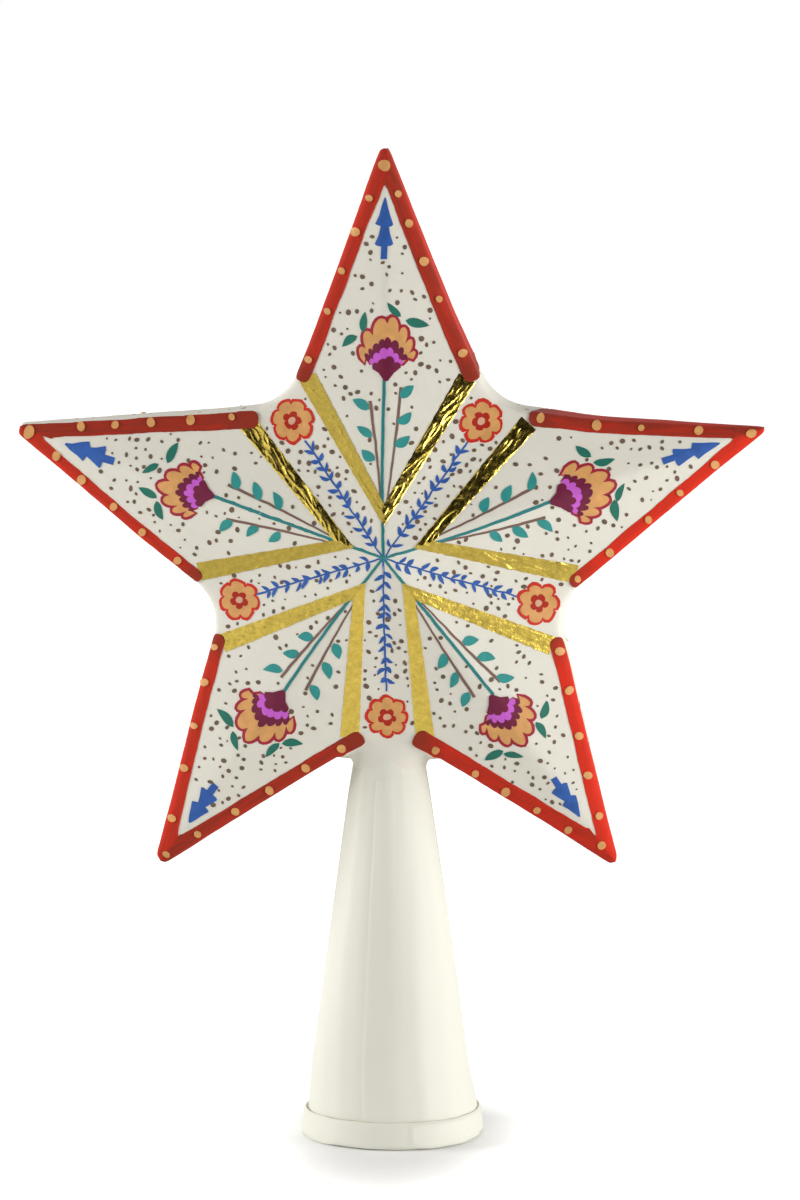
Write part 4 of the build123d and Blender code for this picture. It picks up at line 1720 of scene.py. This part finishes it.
class TOPPER_OT_stage(bpy.types.Operator):
    """Sets up the pale floor, the white surroundings, two soft lamps, a dark card and the camera"""

    bl_idname = "topper.stage"
    bl_label = "Stage"

    FLOOR_REACH = 30.0
    RIGHT_LAMP = Vector((1.22, -0.44, 0.265))
    RIGHT_SIZE = (1.12, 0.45)
    LEFT_LAMP = Vector((-1.29, -0.18, 0.52))
    LEFT_SIZE = (0.77, 0.44)
    CARD_DISTANCE = 2.2
    CARD_LEFT = (-10.0, -66.8)  # its left side, in degrees to the right of the front, at its foot and its top
    CARD_RIGHT = 56.6
    CARD_RISE = (9.0, 64.1)  # degrees over the floor
    FLOOR_GLOW = 0.7  # what lifts the floor to white for the camera, outside a painted shadow round the star's foot, inside which the floor keeps its rendered grey and its real shadow
    PAINTED_SHADOW_REACH = (0.034, 0.11)
    PAINTED_SHADOW_SHAPE = (2.4, 1.0, 1.0)  # how much narrower the painted shadow is than deep
    WHITE = (1.0, 1.0, 1.0, 1.0)
    BLACK_FELT = (0.012, 0.011, 0.01, 1.0)
    CARD_GRID = (12, 8)
    SENSOR_WIDTH = 36.0

    def execute(self, context):
        scene = context.scene
        stage = scene.topper_stage
        scene.view_settings.view_transform = "Standard"
        self.floor()
        self.surroundings(scene, stage.sky_level)
        self.lamp("right_soft_lamp", self.RIGHT_LAMP, self.RIGHT_SIZE, stage.right_power)
        self.lamp("left_soft_lamp", self.LEFT_LAMP, self.LEFT_SIZE, stage.left_power)
        self.dark_card()
        self.camera(scene, stage)
        return {"FINISHED"}

    def floor(self):
        floor = add_object("floor", bpy.ops.mesh.primitive_plane_add, size=2 * self.FLOOR_REACH)
        material, tree, shader, place = new_material("pale_matte_floor")
        # Painted shadow: the glow fades out in an ellipse round the star's foot, so the floor there stays
        # darker
        near, far = self.PAINTED_SHADOW_REACH
        path = add_node(tree, "ShaderNodeLightPath")
        squeezed = add_node(
            tree, "ShaderNodeVectorMath", {"operation": "MULTIPLY"}, {0: place, 1: self.PAINTED_SHADOW_SHAPE}
        )
        away = add_node(
            tree, "ShaderNodeVectorMath", {"operation": "LENGTH"}, {0: squeezed.outputs["Vector"]}
        )
        lift = add_node(
            tree, "ShaderNodeMapRange", {"interpolation_type": "SMOOTHSTEP"},
            {"Value": away.outputs["Value"], "From Min": near, "From Max": far, "To Max": self.FLOOR_GLOW},
        )
        glow = add_node(
            tree, "ShaderNodeMath", {"operation": "MULTIPLY"},
            {0: path.outputs["Is Camera Ray"], 1: lift.outputs["Result"]},
        )
        set_inputs(tree, shader, {
            "Base Color": palette("floor"), "Roughness": 0.9, "Emission Color": self.WHITE,
            "Emission Strength": glow.outputs["Value"],
        })
        floor.data.materials.append(material)

    def surroundings(self, scene, sky_level):
        """White all round for the camera and for reflections, and an even soft light on the object."""
        world = bpy.data.worlds.new("white_surroundings")
        world.use_nodes = True
        tree = world.node_tree
        path = add_node(tree, "ShaderNodeLightPath")
        seen = path.outputs["Is Camera Ray"]
        for ray in ("Is Glossy Ray", "Is Transmission Ray"):
            either = {0: seen, 1: path.outputs[ray]}
            seen = add_node(tree, "ShaderNodeMath", {"operation": "MAXIMUM"}, either).outputs["Value"]
        strength = add_node(
            tree, "ShaderNodeMapRange", None, {"Value": seen, "To Min": sky_level, "To Max": 1.0}
        )
        set_inputs(
            tree, tree.nodes["Background"], {"Color": self.WHITE, "Strength": strength.outputs["Result"]}
        )
        scene.world = world

    def aim(self, piece, target):
        """Points a lamp or a camera at a place."""
        piece.rotation_euler = (target - piece.location).to_track_quat("-Z", "Y").to_euler()

    def lamp(self, name, place, size, power):
        lamp = add_object(name, bpy.ops.object.light_add, type="AREA", location=place)
        lamp.data.shape = "RECTANGLE"
        lamp.data.size, lamp.data.size_y = size
        lamp.data.energy = power
        lamp.visible_camera = False
        self.aim(lamp, star_middle())

    def dark_card(self):
        """A dark card over the camera, which the foil mirrors; the camera itself never sees it."""
        left_foot, left_top = self.CARD_LEFT
        low, high = self.CARD_RISE

        def place(s, t):
            left = left_foot + (left_top - left_foot) * t
            turn = math.radians(left + (self.CARD_RIGHT - left) * s)
            rise = math.radians(low + (high - low) * t)
            level_part = math.cos(rise)
            direction = Vector((math.sin(turn) * level_part, -math.cos(turn) * level_part, math.sin(rise)))
            return direction * self.CARD_DISTANCE + star_middle()

        card = sheet_from_grid("dark_card", *self.CARD_GRID, place)
        material, tree, shader = new_material("black_felt_card")[:3]
        set_inputs(tree, shader, {"Base Color": self.BLACK_FELT, "Roughness": 0.95})
        card.data.materials.append(material)
        card.visible_camera = False

    def camera(self, scene, stage):
        camera = add_object("photo_camera", bpy.ops.object.camera_add, location=stage.camera_place)
        camera.data.sensor_width = self.SENSOR_WIDTH
        camera.data.lens = stage.lens
        self.aim(camera, Vector(stage.camera_aim))
        scene.camera = camera


class TOPPER_PT_panel(bpy.types.Panel):
    """Lists the star topper's sizes, colours and pieces"""

    bl_idname = "TOPPER_PT_panel"
    bl_label = "Star topper"
    bl_space_type = "VIEW_3D"
    bl_region_type = "UI"
    bl_category = "Star topper"

    def draw(self, context):
        for group in GROUPS:
            box = self.layout.box()
            for name in GROUPS[group].__annotations__:
                box.prop(getattr(context.scene, group), name)
        for operator in OPERATORS:
            self.layout.operator(operator.bl_idname)


GROUPS = {"topper_sizes": TopperSizes, "topper_colours": TopperColours, "topper_stage": TopperStage}
OPERATORS = (
    TOPPER_OT_gesso_star,
    TOPPER_OT_rolled_cone,
    TOPPER_OT_red_border,
    TOPPER_OT_gold_foil,
    TOPPER_OT_carnations,
    TOPPER_OT_leafy_stems,
    TOPPER_OT_little_trees,
    TOPPER_OT_sprigs,
    TOPPER_OT_rosettes,
    TOPPER_OT_speckles,
    TOPPER_OT_hand_shape,
    TOPPER_OT_stage,
)


def register():
    for item in (*GROUPS.values(), *OPERATORS, TOPPER_PT_panel):
        bpy.utils.register_class(item)
    for name, group in GROUPS.items():
        setattr(bpy.types.Scene, name, bpy.props.PointerProperty(type=group))


def unregister():
    for name in GROUPS:
        delattr(bpy.types.Scene, name)
    for item in reversed((*GROUPS.values(), *OPERATORS, TOPPER_PT_panel)):
        bpy.utils.unregister_class(item)


def main():
    register()
    bpy.ops.topper.gesso_star()
    bpy.ops.topper.rolled_cone()
    bpy.ops.topper.red_border()
    bpy.ops.topper.gold_foil()
    bpy.ops.topper.carnations()
    bpy.ops.topper.leafy_stems()
    bpy.ops.topper.little_trees()
    bpy.ops.topper.sprigs()
    bpy.ops.topper.rosettes()
    bpy.ops.topper.speckles()
    bpy.ops.topper.hand_shape()
    bpy.ops.topper.stage()


if __name__ == "__main__":
    main()
